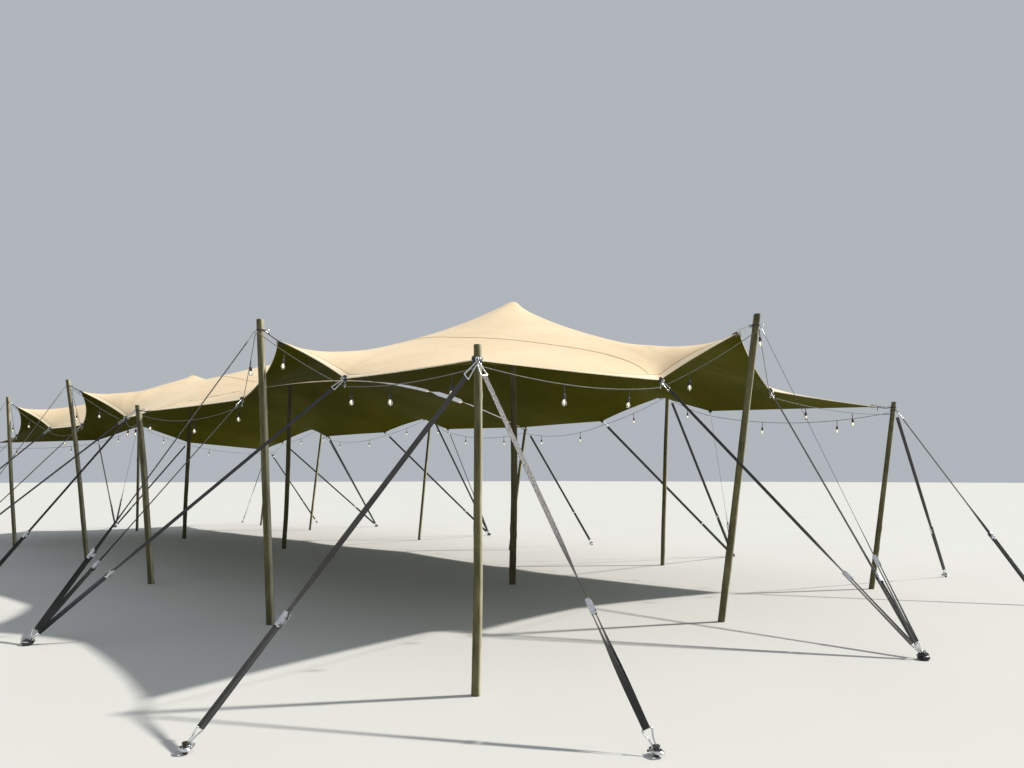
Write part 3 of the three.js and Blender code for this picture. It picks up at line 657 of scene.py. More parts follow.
def relaxed(values, weights, free):
    # draws each free place to the weighted mean of its four neighbours
    inner, held = values[1:-1, 1:-1], weights[1:-1, 1:-1]
    left, right = held + weights[:-2, 1:-1], held + weights[2:, 1:-1]
    near, far = held + weights[1:-1, :-2], held + weights[1:-1, 2:]
    whole = left + right + near + far
    for sweep in range(sheetForm["passes"]):
        for half in free:
            mean = (left * values[:-2, 1:-1] + right * values[2:, 1:-1]
                    + near * values[1:-1, :-2] + far * values[1:-1, 2:]) / whole
            inner[half] += sheetForm["factor"] * (mean[half] - inner[half])
    return values


def freeHalves(held):
    # the inner places that may move, as the two colours of a chequerboard
    parity = np.add.outer(*(np.arange(count) for count in held.shape)) % 2
    return [((parity == half) & ~held)[1:-1, 1:-1] for half in (0, 1)]


def relaxedSheet(sheet):
    near, far, left, right = sheet["near"], sheet["far"], sheet["left"], sheet["right"]
    columns, rows = len(near), len(left)
    u = np.linspace(0, 1, columns)[:, None, None]
    v = np.linspace(0, 1, rows)[None, :, None]
    corners = (near[0] * (1 - u) + near[-1] * u) * (1 - v) + (far[0] * (1 - u) + far[-1] * u) * v
    places = near[:, None] * (1 - v) + far[:, None] * v + left[None] * (1 - u) + right[None] * u - corners
    held = np.zeros((columns, rows), bool)
    for pole, column, row in sheet["peaks"]:
        foot, peak = centrePoles[pole]
        at = (column * sheetForm["cells"], row * sheetForm["cells"])
        places[at] = (*foot, peak)
        held[at] = True
    even = np.ones((columns, rows))
    x, y = (relaxed(places[:, :, axis].copy(), even, freeHalves(held)) for axis in (0, 1))
    feet = [centrePoles[pole][0] for pole, column, row in sheet["peaks"]]
    reach = np.min([np.hypot(x - foot[0], y - foot[1]) for foot in feet], axis=0)
    tension = np.ones((columns, rows))
    for pole, tip, pull in sheet["ridges"]:
        foot = centrePoles[pole][0]
        run = np.array(tips[tip][:2]) - foot
        length = np.hypot(*run)
        share = ((x - foot[0]) * run[0] + (y - foot[1]) * run[1]) / length ** 2
        aside = ((x - foot[0]) * run[1] - (y - foot[1]) * run[0]) / length
        strength = np.where(share > 0, pull * (1 + sheetForm["growth"] * np.clip(share, 0, 1) ** 2), 0)
        tension += strength * np.exp(-(aside / sheetForm["width"]) ** 2)
    z = places[:, :, 2].copy()
    for pole, column, row in sheet["peaks"]:  # the pole's rounded head holds up a small cap
        foot, peak = centrePoles[pole]
        away = np.hypot(x - foot[0], y - foot[1]) / sheetForm["cap"]
        z = np.where(away <= 1, peak - sheetForm["capDrop"] * away ** 2, z)
        held |= away <= 1
    z = relaxed(z, tension * (reach + sheetForm["softness"]) ** -sheet["power"], freeHalves(held))
    return np.stack([x, y, z], axis=2)


def gridShape(shape, places):
    # a flat grid whose corners are moved to the places
    columns, rows = places.shape[:2]
    bmesh.ops.create_grid(shape, x_segments=columns - 1, y_segments=rows - 1, size=1)
    for vert in shape.verts:
        i = round((vert.co.x + 1) / 2 * (columns - 1))
        j = round((vert.co.y + 1) / 2 * (rows - 1))
        vert.co = places[i, j]


def unit(ways):
    return ways / np.linalg.norm(ways, axis=-1, keepdims=True)


def sheetNormals(places):
    return unit(np.cross(np.gradient(places, axis=0), np.gradient(places, axis=1)))


# tension folds that run from each tie and each peak into the cloth
folds = {"reach": 1.5, "depth": 0.010, "spread": 9, "fan": 1.1, "fade": 1.2, "margin": 0.05,
         "peakReach": 1.6, "peakDepth": 0.006, "peakSpread": 11}


def turnAndShare(places, centre, reach):
    # how each place of the sheet lies round a centre: its direction, and its distance as a share of reach
    away = places[:, :, :2] - np.array(centre[:2])
    share = np.hypot(away[:, :, 0], away[:, :, 1]) / reach
    return np.arctan2(away[:, :, 1], away[:, :, 0]), np.clip(share, 0, 1)


def addFolds(places, sheet, seed):
    normals = sheetNormals(places)
    rise = np.zeros(places.shape[:2])
    middle = places.mean(axis=(0, 1))
    least, most = places[:, :, 0].min(), places[:, :, 0].max()
    for number, place in enumerate(tips.values()):
        if abs(place[0] - np.clip(place[0], least, most)) > folds["margin"]:  # a tie of the other sheet
            continue
        turn, share = turnAndShare(places, place, folds["reach"])
        inward = math.atan2(middle[1] - place[1], middle[0] - place[0])
        turn = (turn - inward + np.pi) % (2 * np.pi) - np.pi
        fade = np.sin(np.pi * share) * (1 - share) ** folds["fade"] * np.exp(-(turn / folds["fan"]) ** 2)
        rise += folds["depth"] * fade * np.cos(turn * folds["spread"] + seed + number)
    for pole, column, row in sheet["peaks"]:
        turn, share = turnAndShare(places, centrePoles[pole][0], folds["peakReach"])
        fade = np.sin(np.pi * share) * (1 - share)
        rise += folds["peakDepth"] * fade * np.cos(turn * folds["peakSpread"] + column)
    edge = np.ones(places.shape[:2])
    edge[0] = edge[-1] = 0
    edge[:, 0] = edge[:, -1] = 0
    return places + normals * (rise * edge)[:, :, None]


def clothArea(places):
    first = np.cross(places[1:, :-1] - places[:-1, :-1], places[1:, 1:] - places[:-1, :-1])
    second = np.cross(places[1:, 1:] - places[:-1, :-1], places[:-1, 1:] - places[:-1, :-1])
    return (np.linalg.norm(first, axis=2).sum() + np.linalg.norm(second, axis=2).sum()) / 2


def addBand(target, line, inwards, normals, across, thick, lift):
    # a band along a line on the cloth, as wide as across, from a grid moved into place
    shape = bmesh.new()
    gridShape(shape, line[:, None] + inwards[:, None] * np.array(across)[:, None] + normals[:, None] * lift)
    thicken(shape, thick)
    pour(asMesh(shape, "band"), target)


# where the lacing lets the joint gape: from and to as shares of the joint, how far each edge moves, and
# over how much of the gap it opens
gapes = {
    "canopy_right": 1, "canopy_left": -1, "reach": 0.7,
    "places": [(0.26, 0.5, 0.006, 0.3), (0.5, 0.66, 0.024, 0.6), (0.67, 0.775, 0.042, 0.25),
               (0.785, 0.94, 0.009, 0.1)],
}


def openJoint(places, name):
    side = gapes[name]
    share = np.linspace(0, 1, places.shape[1])
    lift = np.zeros(places.shape[1])
    for start, end, height, ramp in gapes["places"]:
        inside = (share - start) / (end - start)
        lift += np.where((inside > 0) & (inside < 1), height * np.clip(inside / ramp, 0, 1), 0)
    edge = places[0] if side > 0 else places[-1]
    away = np.linalg.norm(places[:, :, :2] - edge[None, :, :2], axis=2)
    fade = np.clip(1 - away / gapes["reach"], 0, 1) ** 2
    places = places.copy()
    places[:, :, 2] += side * lift[None] * fade
    return places


# hem: a doubled band inside the edge above and below, with a narrow pale tape along the edge itself
hem = {
    "start": 0.001, "wide": 0.06, "thick": 0.0022, "lift": 0.0032, "under": -0.0042,
    "stitch": 0.004, "stitchLift": 0.0008, "tapeStart": -0.002, "tapeWide": 0.009, "tapeThick": 0.008,
    "tapeLift": 0.0022,
}
# welds: column and row stops of each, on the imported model's cells
seams = {
    "half": 0.007, "thick": 0.0014, "lift": 0.0016, "under": -0.0041, "points": 160, "sweeps": 6, "cells": 4,
    "canopy_right": [((0, 25), (62, 25), (80, 31), (96, 38)), ((0, 71), (62, 71), (96, 67))],
    "canopy_left": [((0, 38), (14, 33), (30, 27), (144, 27)), ((0, 62), (20, 69), (144, 70))],
}


def onGrid(grid, i, j):
    # a point between the grid's own, from the column and row
    i, j = np.clip(i, 0, grid.shape[0] - 1.001), np.clip(j, 0, grid.shape[1] - 1.001)
    a, b = int(i), int(j)
    s, t = i - a, j - b
    near = grid[a, b] * (1 - s) + grid[a + 1, b] * s
    far = grid[a, b + 1] * (1 - s) + grid[a + 1, b + 1] * s
    return near * (1 - t) + far * t


def seamLine(stops):
    # column and row along a weld, eased between its stops
    columns = np.linspace(stops[0][0], stops[-1][0], seams["points"])
    rows = np.interp(columns, [stop[0] for stop in stops], [stop[1] for stop in stops])
    for sweep in range(seams["sweeps"]):
        rows[1:-1] = (rows[:-2] + 2 * rows[1:-1] + rows[2:]) / 4
    return columns, rows


def edgeLines(places, normals):
    # each side of the sheet as its line, the way inwards and the way up
    columns, columnNormals = places.transpose(1, 0, 2), normals.transpose(1, 0, 2)
    for lines, facingUp, edge, inner in ((columns, columnNormals, 0, 1), (columns, columnNormals, -1, -2),
                                         (places, normals, 0, 1), (places, normals, -1, -2)):
        yield lines[edge], unit(lines[inner] - lines[edge]), facingUp[edge]


surfaces = {}


def makeSheet(name, sheet, seed):
    places = openJoint(addFolds(relaxedSheet(sheet), sheet, seed), name)
    surfaces[name] = places
    normals = sheetNormals(places)
    shape = bmesh.new()
    gridShape(shape, places)
    piece = meshPiece(name + "_cloth", shape, [sunCloth, paintedShadeCloth], (name,), sharp=180)
    wall = piece.modifiers.new("thickness", "SOLIDIFY")
    wall.thickness = sheetForm["thick"]
    wall.offset = -1
    wall.material_offset = 1
    hems, hemsUnder, tapes, welds = (bmesh.new() for part in range(4))
    band = (hem["start"], hem["wide"] / 2, hem["wide"])
    stitching = (hem["wide"] - hem["stitch"], hem["wide"], hem["wide"] + hem["stitch"])
    edging = (hem["tapeStart"], hem["tapeWide"] / 2, hem["tapeWide"])
    for side in edgeLines(places, normals):
        addBand(hems, *side, band, hem["thick"], hem["lift"])
        addBand(hemsUnder, *side, band, hem["thick"], hem["under"])
        # the stitching line: a darker strip, partly stitching and partly painted shade in its groove
        addBand(welds, *side, stitching, seams["thick"], hem["lift"] + hem["stitchLift"])
        addBand(tapes, *side, edging, hem["tapeThick"], hem["tapeLift"])
    scale = sheetForm["cells"] / seams["cells"]
    across = (-seams["half"], 0, seams["half"])
    for stops in seams[name]:
        cells = [(i * scale, j * scale) for i, j in zip(*seamLine(stops))]
        line, facingUp = (np.array([onGrid(grid, i, j) for i, j in cells]) for grid in (places, normals))
        aside = unit(np.cross(np.gradient(line, axis=0), facingUp))
        addBand(welds, line, aside, facingUp, across, seams["thick"], seams["lift"])
        addBand(hemsUnder, line, aside, facingUp, across, seams["thick"], seams["under"])
    # the hem and welds below the sheet take the cloth with painted shade
    bands = (("_hem", hems, hemCloth), ("_hem_painted_shade", hemsUnder, paintedShadeCloth), ("_edge_tape", tapes, edgeTape),
             ("_welds", welds, seamAndGrooveShade))
    trim = [meshPiece(name + ending, gathered, [material], (name,), sharp=50)
            for ending, gathered, material in bands]
    held = [pole for pole, column, row in sheet["peaks"]]
    flat = sheet["flat"]
    print(name, "area", round(clothArea(places), 2), "flat", flat)


for number, (name, sheet) in enumerate(sheets.items()):
    makeSheet(name, sheet, number)
print("sheets made")

# poles: round debarked wood, a little bowed and knotty
poleForm = {
    "sides": 20, "rings": 46, "rim": 0.004, "bow": 0.012, "sway": 0.35, "lump": 0.0028, "lumpAround": 1.2,
    "lumpAlong": 2.1, "lumpStep": 9, "fineLump": 0.4, "fineScale": 3.1,
    "knots": 6, "knotRise": 0.005, "knotSize": (0.02, 0.035), "knotEnds": (0.3, 0.25),
    "centreGirth": (0.048, 0.044), "centreBow": 0.03, "centreLump": 0.005, "headDrop": 0.03, "centreSeed": 31,
}


def makePole(name, foot, top, girth, paintedSunlit, bow, lump, seed):
    chance = random.Random(seed)
    shape = bmesh.new()
    paintedSunlitShare = shape.verts.layers.float.new("paintedSunlitShare")
    bmesh.ops.create_cone(shape, cap_ends=True, segments=poleForm["sides"], radius1=girth[0],
                          radius2=girth[1], depth=1, matrix=Matrix.Translation((0, 0, 0.5)))
    upright = [edge for edge in shape.edges if abs(edge.verts[0].co.z - edge.verts[1].co.z) > 0.5]
    bmesh.ops.subdivide_edges(shape, edges=upright, cuts=poleForm["rings"])
    foot, top = Vector((*foot, 0)), Vector(top)
    bowAngle, length = chance.uniform(0, 2 * math.pi), top.z
    heights = (poleForm["knotEnds"][0], length - poleForm["knotEnds"][1])
    knots = [[chance.uniform(*span) for span in ((0, 2 * math.pi), heights, poleForm["knotSize"])]
             for knot in range(poleForm["knots"])]
    for vert in shape.verts:
        t = vert.co.z
        angle, radius = math.atan2(vert.co.y, vert.co.x), math.hypot(vert.co.x, vert.co.y)
        along = t * length * poleForm["lumpAlong"] + seed * poleForm["lumpStep"]
        place = around(angle, poleForm["lumpAround"], along)
        radius += lump * noise.noise(place)
        radius += poleForm["fineLump"] * lump * noise.noise(place * poleForm["fineScale"])
        for knotAngle, knotHeight, size in knots:
            turn = (angle - knotAngle + math.pi) % (2 * math.pi) - math.pi
            away = (turn * radius) ** 2 + (t * length - knotHeight) ** 2
            radius += poleForm["knotRise"] * math.exp(-away / size ** 2)
        sway = poleForm["sway"] * math.sin(2 * math.pi * t + seed)
        swing = bow * math.sin(math.pi * t) * (1 + sway)
        vert.co = foot.lerp(top, t) + around(bowAngle, swing) + around(angle, radius)
        # painted sunlight: the side facing the sun takes the lit colour, the rest the painted shade
        towardsSun = math.cos(angle - math.radians(wood["paintedSunTurn"])) - wood["paintedLightStart"]
        share = min(1, max(0, towardsSun / (wood["paintedLightFull"] - wood["paintedLightStart"])))
        vert[paintedSunlitShare] = paintedSunlit * eased(share)
    rims = [edge for edge in shape.edges if any(len(face.verts) > 4 for face in edge.link_faces)]
    rounded(shape, rims, poleForm["rim"])
    meshPiece(name + "_wood", shape, [debarkedWood], (name,), sharp=50)


for number, (name, pole) in enumerate(poles.items()):
    makePole(name, *pole, 1, poleForm["bow"], poleForm["lump"], number + 1)
# the centre poles get the painted shade only, with no painted sunlight
for number, (name, (foot, peak)) in enumerate(centrePoles.items()):
    head = (*foot, peak - poleForm["headDrop"])
    makePole(name, foot, head, poleForm["centreGirth"], 0, poleForm["centreBow"], poleForm["centreLump"],
             number + poleForm["centreSeed"])
print("poles made")

# straps with their ratchets, hooks and stakes
strap = {
    "wide": 0.044, "thick": 0.003, "doubleGap": 0.021, "belly": 0.0008, "bands": 26, "crowding": 1.7,
    "twistLong": 0.5, "ratchetReach": 0.84, "ratchetLong": 0.105, "shackle": 0.03, "lashingDrop": 0.12,
    "footHook": 0.105, "headHook": 0.15, "hookWire": 0.005, "footTuck": 0.012, "headTuck": 0.004,
    "hookRoom": 0.01,
}
# how each strap is turned about its length: at its foot, at its ratchet and above; the pole's strap first
nearTurns = ((1.9, 2.4, 2.9), (0.65, 0.55, 0.9), (1.9, 2.2, 2.35))
plainTurns = ((1.3, 1.1, 0.6), (1.6, 1.5, 1.7), (1.0, 1.1, 1.2))
turns = {
    "near_side_guy_1": nearTurns, "near_side_guy_2": nearTurns, "near_side_guy_3": nearTurns,
    "right_end_guy": ((0.9, 0.7, 0.57), (0.65, 0.5, 0.93), (1.7, 1.45, 1.3)),
    "left_end_guy": ((2.2, 1.9, 1.4), (2.0, 1.7, 1.9), (0.5, 0.9, 1.2)),
    "near_right_strap_near": ((2.25, 2.35, 1.9),),
    "near_right_strap_right": ((2.2, 0.75, -0.14),),
    "near_joint_strap": ((2.0, 2.4, 2.4),),
}
# how far up the strap its ratchet begins, where that is lower than ratchetReach
reaches = {"near_right_strap_near": 0.76, "near_right_strap_right": 0.785, "right_end_guy": 0.78}
crossed = {  # the corner pole's two hooks meet on its front: how far each is drawn round it, and its drop
    "near_right_strap_near": (1.2, 0.125), "near_right_strap_right": (-0.95, 0.105),
}


def addWebbing(target, start, end, shift, turnStart, turnEnd, twistLong=None):
    # one length of webbing between two points, its wide side turned from one angle to another
    matrix = facing(start, end)
    length = (end - start).length
    shape = bmesh.new()
    layer = shape.loops.layers.uv.new("UVMap")
    bmesh.ops.create_grid(shape, x_segments=2, y_segments=strap["bands"], size=1)
    for face in shape.faces:
        for loop in face.loops:
            loop[layer].uv = (loop.vert.co.x * strap["wide"] / 2, (loop.vert.co.y + 1) / 2 * length)
    for vert in shape.verts:
        t = ((vert.co.y + 1) / 2) ** (strap["crowding"] if twistLong else 1)  # more bands where it twists
        aside = vert.co.x * strap["wide"] / 2
        twist = turnStart + (turnEnd - turnStart) * eased(min(1, t * length / (twistLong or length)))
        belly = shift - strap["belly"] * (1 - vert.co.x ** 2)
        vert.co = matrix @ Vector((aside * math.cos(twist) - belly * math.sin(twist),
                                   belly * math.cos(twist) + aside * math.sin(twist), t * length))
    thicken(shape, strap["thick"])
    pour(asMesh(shape, "webbing length"), target)


def facesOf(made, slotIndex):
    faces = {face for vert in made["verts"] for face in vert.link_faces}
    for face in faces:
        face.material_index = slotIndex
    return faces


def addCylinder(target, radius, length, matrix, sides=14, rim=0.001, slotIndex=0):
    made = bmesh.ops.create_cone(target, cap_ends=True, segments=sides, radius1=radius, radius2=radius,
                                 depth=length, matrix=matrix)
    ends = [face for face in facesOf(made, slotIndex) if len(face.verts) > 4]
    rounded(target, {edge for face in ends for edge in face.edges}, rim)


def addBlock(target, size, matrix, rim=0.001, slotIndex=0):
    made = bmesh.ops.create_cube(target, size=1, matrix=matrix @ Matrix.Diagonal((*size, 1)))
    rounded(target, {edge for face in facesOf(made, slotIndex) for edge in face.edges}, rim)


# places: how far out of the ratchet, and how far along it as a share of its length
ratchet = {
    "half": 0.023, "plate": (0.003, 0.028, 0.098), "handle": (0.0025, 0.02, 0.085), "handleIn": 0.004,
    "handlePlace": (0.011, 0.42), "toothed": (0.016, 0.003), "toothedRim": 0.0006, "toothedOut": 0.004,
    "axlePlace": (0.002, 0.72),
    "rods": [  # radius, length, place, sides: the axle, the foot pin and the handle's pin
        (0.007, 0.062, (0.002, 0.72), 14), (0.0049, 0.052, (0, 0.08), 12), (0.0063, 0.05, (0.013, 0.06), 12),
    ],
    "bridge": (0.04, 0.004, 0.022), "bridgePlace": (0.008, 0.5), "grip": (0.044, 0.012, 0.03),
    "gripPlace": (0.014, 0.12), "gripRim": 0.003, "wound": (0.014, 0.036),
}


def ratchetPattern():
    shape = bmesh.new()
    crosswise = Matrix.Rotation(math.pi / 2, 4, "Y")

    def at(aside, place):
        return Matrix.Translation((aside, place[0], strap["ratchetLong"] * place[1]))

    for side in (-1, 1):
        addBlock(shape, ratchet["plate"], at(side * ratchet["half"], (0, 0.5)))
        inner, outer = ratchet["half"] - ratchet["handleIn"], ratchet["half"] + ratchet["toothedOut"]
        addBlock(shape, ratchet["handle"], at(side * inner, ratchet["handlePlace"]))
        wheel = at(side * outer, ratchet["axlePlace"])
        addCylinder(shape, *ratchet["toothed"], wheel @ crosswise, 12, ratchet["toothedRim"])
    for radius, length, place, sides in ratchet["rods"]:
        addCylinder(shape, radius, length, at(0, place) @ crosswise, sides)
    addBlock(shape, ratchet["bridge"], at(0, ratchet["bridgePlace"]))
    addBlock(shape, ratchet["grip"], at(0, ratchet["gripPlace"]), ratchet["gripRim"], 1)
    addCylinder(shape, *ratchet["wound"], at(0, ratchet["axlePlace"]) @ crosswise, 16, slotIndex=1)
    return asMesh(shape, "ratchet pattern")


ratchetMesh = ratchetPattern()
# half of a double-J hook bent from one wire: the curl, measured from its bend, then the bar for the webbing
hook = {"bend": 0.032, "curl": [(-0.010, 0.026, 0), (-0.010, 0.029, 0.018), (-0.010, 0.017, 0.031),
                                (-0.010, 0.0, 0.024), (-0.013, -0.002, -0.018)],
        "bar": [(-0.026, 0, 0.016), (-0.025, 0, 0)]}


def hookLine(matrix, long):
    half = [(x, y, long - hook["bend"] + z) for x, y, z in hook["curl"]] + hook["bar"]
    points = half + [(-x, y, z) for x, y, z in reversed(half)]
    return [matrix @ point for point in smoothLine(points, 3)]


def ringLine(matrix, radius, steps=18):
    return [matrix @ around(2 * math.pi * k / steps, radius) for k in range(steps + 1)]


class Kit:
    # what one set of straps is made of, gathered before it becomes pieces
    def __init__(self):
        self.webbing, self.ratchets, self.stakes = bmesh.new(), bmesh.new(), bmesh.new()
        self.hooks, self.ropes, self.shackles = [], [], []


# steel stake with its head, the sling on it, and two shackles, each half of a bow with its pin and nut
stake = {
    "radius": 0.014, "tall": 0.056, "head": (0.02, 0.012), "headHeight": 0.055, "headRim": 0.003,
    "slings": [(0.05, 0.02, 0.05), (0.043, 0.043, 0.15)],  # radius, height and lean of its turns
    "slingWide": 0.026, "slingRim": 0.011,
    "shackles": [(0.35, 0.026), (-0.25, 0.034)],  # turn and height
    "bow": [(-0.046, 0.016, 0), (-0.03, 0.019, 0), (0, 0.024, 0), (0.024, 0.025, 0), (0.038, 0.012, 0)],
    "nose": (0.041, 0, 0), "wire": 0.0065, "pin": (0.0055, 0.056), "pinPlace": (-0.04, 0, 0),
    "nut": (0.010, 0.007), "nutPlace": (-0.04, 0.028, 0),
}


def addStake(kit, place, sling=False):
    foot = Vector((*place, 0))
    if sling:  # webbing sling round the stake, that three straps hook into
        for radius, lift, lean in stake["slings"]:
            turn = Matrix.Translation(foot + up * lift) @ Matrix.Rotation(lean, 4, "X")
            addCylinder(kit.ratchets, radius, stake["slingWide"], turn, 20, stake["slingRim"], 1)
    addCylinder(kit.stakes, stake["radius"], stake["tall"], Matrix.Translation(foot + up * stake["tall"] / 2))
    head = Matrix.Translation(foot + up * stake["headHeight"])
    addCylinder(kit.stakes, *stake["head"], head, 16, stake["headRim"])
    lying = Matrix.Rotation(math.pi / 2, 4, "X")
    bow = [*stake["bow"], stake["nose"], *[(x, -y, z) for x, y, z in reversed(stake["bow"])]]
    for lean, height in stake["shackles"]:
        turn = Matrix.Rotation(math.atan2(foot.y, foot.x) + lean, 4, "Z")
        place = Matrix.Translation(foot + up * height) @ turn
        kit.shackles.append([place @ point for point in smoothLine(bow, 3)])
        addCylinder(kit.stakes, *stake["pin"], place @ Matrix.Translation(stake["pinPlace"]) @ lying, 10)
        addCylinder(kit.stakes, *stake["nut"], place @ Matrix.Translation(stake["nutPlace"]) @ lying, 6)


def addStrap(kit, place, end, turn, reach):
    foot = Vector((*place, strap["shackle"]))
    lengthways = (end - foot).normalized()
    hookFoot = foot + lengthways * (strap["footHook"] + strap["footTuck"])
    ratchetStart = foot + lengthways * reach
    doubled = ratchetStart + lengthways * strap["footTuck"]
    half = strap["doubleGap"] / 2
    for side in (half, -half):
        addWebbing(kit.webbing, hookFoot, doubled, side, turn[0], turn[1])
    drum = ratchetStart + lengthways * strap["ratchetLong"] * ratchet["axlePlace"][1]
    upper = end - lengthways * (strap["headHook"] + strap["headTuck"])
    addWebbing(kit.webbing, drum, upper, 0, turn[1], turn[2], strap["twistLong"])
    turned = facing(foot, end) @ Matrix.Rotation(turn[1], 4, "Z")
    pourCopy(ratchetMesh, kit.ratchets, Matrix.Translation(lengthways * reach) @ turned)
    kit.hooks.append(hookLine(facing(hookFoot, foot) @ Matrix.Rotation(-turn[0], 4, "Z"), strap["footHook"]))
    kit.hooks.append(hookLine(facing(upper, end) @ Matrix.Rotation(turn[2], 4, "Z"), strap["headHook"]))


# ties: the sheet's tips with their rope bindings, and the low ties with the festoon's hooks
tie = {
    "wire": 0.0042, "poleGap": 0.008, "bundle": 0.012, "cords": [(-0.016, 0.006), (0.016, -0.006)],
    "cordTuck": 0.02, "cordSag": 0.006, "cordBend": 0.012, "cordEnd": 0.006, "cordNarrow": (0.7, 0.8),
    "hook": 0.055, "longHook": 0.152, "secondHook": 0.86, "rings": 5, "ringStart": 0.03, "ringStep": 0.013,
    "ringRadius": 0.017, "ringGrow": 0.0035, "ringTilt": 0.25, "ringSway": 2.2,
    "lowRings": 6, "lowRadius": 0.024, "lowStep": 0.006, "lowTurn": 0.5, "lowLean": 0.2,
    "tail": [(0.01, 0), (0.014, 0.03), (0.006, 0.055)],  # aside and down
    "festoonHook": [(0, 0.012), (0.006, 0.035), (0.009, 0.062), (0.004, 0.083), (0, 0.0905), (-0.008, 0.084),
                    (-0.01, 0.074)],
}


def addTipTie(kit, tip, pole, drop, cords=True):
    # the sheet's gathered tip, bound with rope, tied to the pole's lashing by a wire hook and two cords
    place, post = Vector(tips[tip]), onPole(pole, drop)
    outward = level(post - place)
    face = post - outward * (radiusAt(pole, drop) + tie["poleGap"])
    sideways = up.cross(outward).normalized()
    bundle = place + outward * tie["bundle"]
    run = (face - bundle).normalized()
    long = (face - bundle).length
    for aside, lift in tie["cords"] if cords else ():
        atCloth, atPole = (sideways * aside * narrow + up * lift for narrow in tie["cordNarrow"])
        between = sideways * aside + up * (lift - tie["cordSag"])
        kit.ropes.append(smoothLine([bundle - run * tie["cordTuck"] + atCloth,
                                     bundle + run * long * 0.5 + between,
                                     face - run * tie["cordBend"] + atPole, face + run * tie["cordEnd"]], 5))
    hookLong = tie["hook"] if cords else min(tie["longHook"], long)
    upright = sideways if cords else up
    kit.hooks.append(hookLine(facing(face - run * hookLong, face, upright), hookLong))
    if not cords:  # a second hook takes the place of the cords
        start = face - run * hookLong * tie["secondHook"]
        kit.hooks.append(hookLine(facing(start, bundle, upright), strap["footHook"]))
    for k in range(tie["rings"]):  # turns of rope round the gathered cloth
        ring = facing(bundle - run * (tie["ringStart"] + tie["ringStep"] * k), face)
        ring = ring @ Matrix.Rotation(tie["ringTilt"] * math.sin(k * tie["ringSway"]), 4, "X")
        kit.ropes.append(ringLine(ring, tie["ringRadius"] + tie["ringGrow"] * (k % 2)))
    kit.ropes.append(smoothLine([bundle - up * down + sideways * aside for aside, down in tie["tail"]], 4))


def addLowTie(kit, tip):
    # rope bound round the edge where a low strap takes hold, and the hook that the festoon hangs from
    place = Vector(tips[tip])
    for k in range(tie["lowRings"]):
        ring = Matrix.Translation(place + up * (tie["lowStep"] * (k % 3 - 1)))
        turn = Matrix.Rotation(tie["lowTurn"] * k, 4, "Z")
        lean = Matrix.Rotation(math.pi / 2 - tie["lowLean"] * (k % 2), 4, "Y")
        kit.ropes.append(ringLine(ring @ turn @ lean, tie["lowRadius"]))
    hang = [place - up * down + Vector((aside, 0, 0)) for aside, down in tie["festoonHook"]]
    kit.hooks.append(smoothLine(hang, 4))


lashing = {"standoff": 0.005, "turns": 2.2, "rise": 0.012, "steps": 20, "wobble": 0.0012, "wobbles": 2.3,
           "cornerSeed": 20}


def addLashing(kit, pole, drop, seed):
    # turns of rope wound round the pole
    centre, steps = onPole(pole, drop), lashing["turns"] * lashing["steps"]
    line = []
    for step in range(int(steps) + 1):
        angle = 2 * math.pi * step / lashing["steps"] + seed
        wobble = lashing["wobble"] * math.sin(angle * lashing["wobbles"] + seed)
        radius = radiusAt(pole, drop) + lashing["standoff"] + wobble
        height = lashing["rise"] * (step / steps - 0.5)
        line.append(centre + around(angle, radius, height))
    kit.ropes.append(line)


def finishKit(kit, name):
    meshPiece(name + "_webbing", kit.webbing, [webbing], (name,), sharp=50)
    meshPiece(name + "_ratchets", kit.ratchets, [chrome, webbing], (name,))
    meshPiece(name + "_stake", kit.stakes, [steel], (name,))
    wirePiece(name + "_hooks", kit.hooks, strap["hookWire"], chrome, (name,))
    wirePiece(name + "_shackles", kit.shackles, stake["wire"], chrome, (name,))
    wirePiece(name + "_ropes", kit.ropes, tie["wire"], blackRope, (name,))


def towards(pole, drop, target, lean=0.0):
    # the place on the pole's surface that faces a stake, or is drawn round the pole from there
    point = onPole(pole, drop)
    outward = level(Vector((*target, 0)) - point)
    outward.rotate(Matrix.Rotation(lean, 3, "Z"))
    return point + outward * (radiusAt(pole, drop) + strap["hookRoom"])


def makeGuys():
    for number, (name, (post, tip, place)) in enumerate(sideGuys.items()):
        pole, drop, kit = poles[post], strap["lashingDrop"], Kit()
        turn, reach = turns.get(name, plainTurns), reaches.get(name, strap["ratchetReach"])
        addStake(kit, place, True)
        addStrap(kit, place, towards(pole, drop, place), turn[0], reach)
        addLashing(kit, pole, drop, number)
        addTipTie(kit, tip, pole, drop, name != "right_end_guy")
        for low, lowTurn in zip((tip + "Low1", tip + "Low2"), turn[1:]):
            addStrap(kit, place, Vector(tips[low]), lowTurn, reach)
            addLowTie(kit, low)
        finishKit(kit, name)


def makeCornerStraps():
    for number, (name, (post, place, tipDrop, tip)) in enumerate(cornerStraps.items()):
        pole, kit = poles[post], Kit()
        addStake(kit, place)
        lean, drop = crossed.get(name, (0, tipDrop))
        addStrap(kit, place, towards(pole, drop, place, lean), turns.get(name, plainTurns)[0],
                 reaches.get(name, strap["ratchetReach"]))
        addLashing(kit, pole, drop, number + lashing["cornerSeed"])
        if tip:
            addTipTie(kit, tip, pole, tipDrop)
        finishKit(kit, name)


makeGuys()
makeCornerStraps()
print("straps and stakes made")

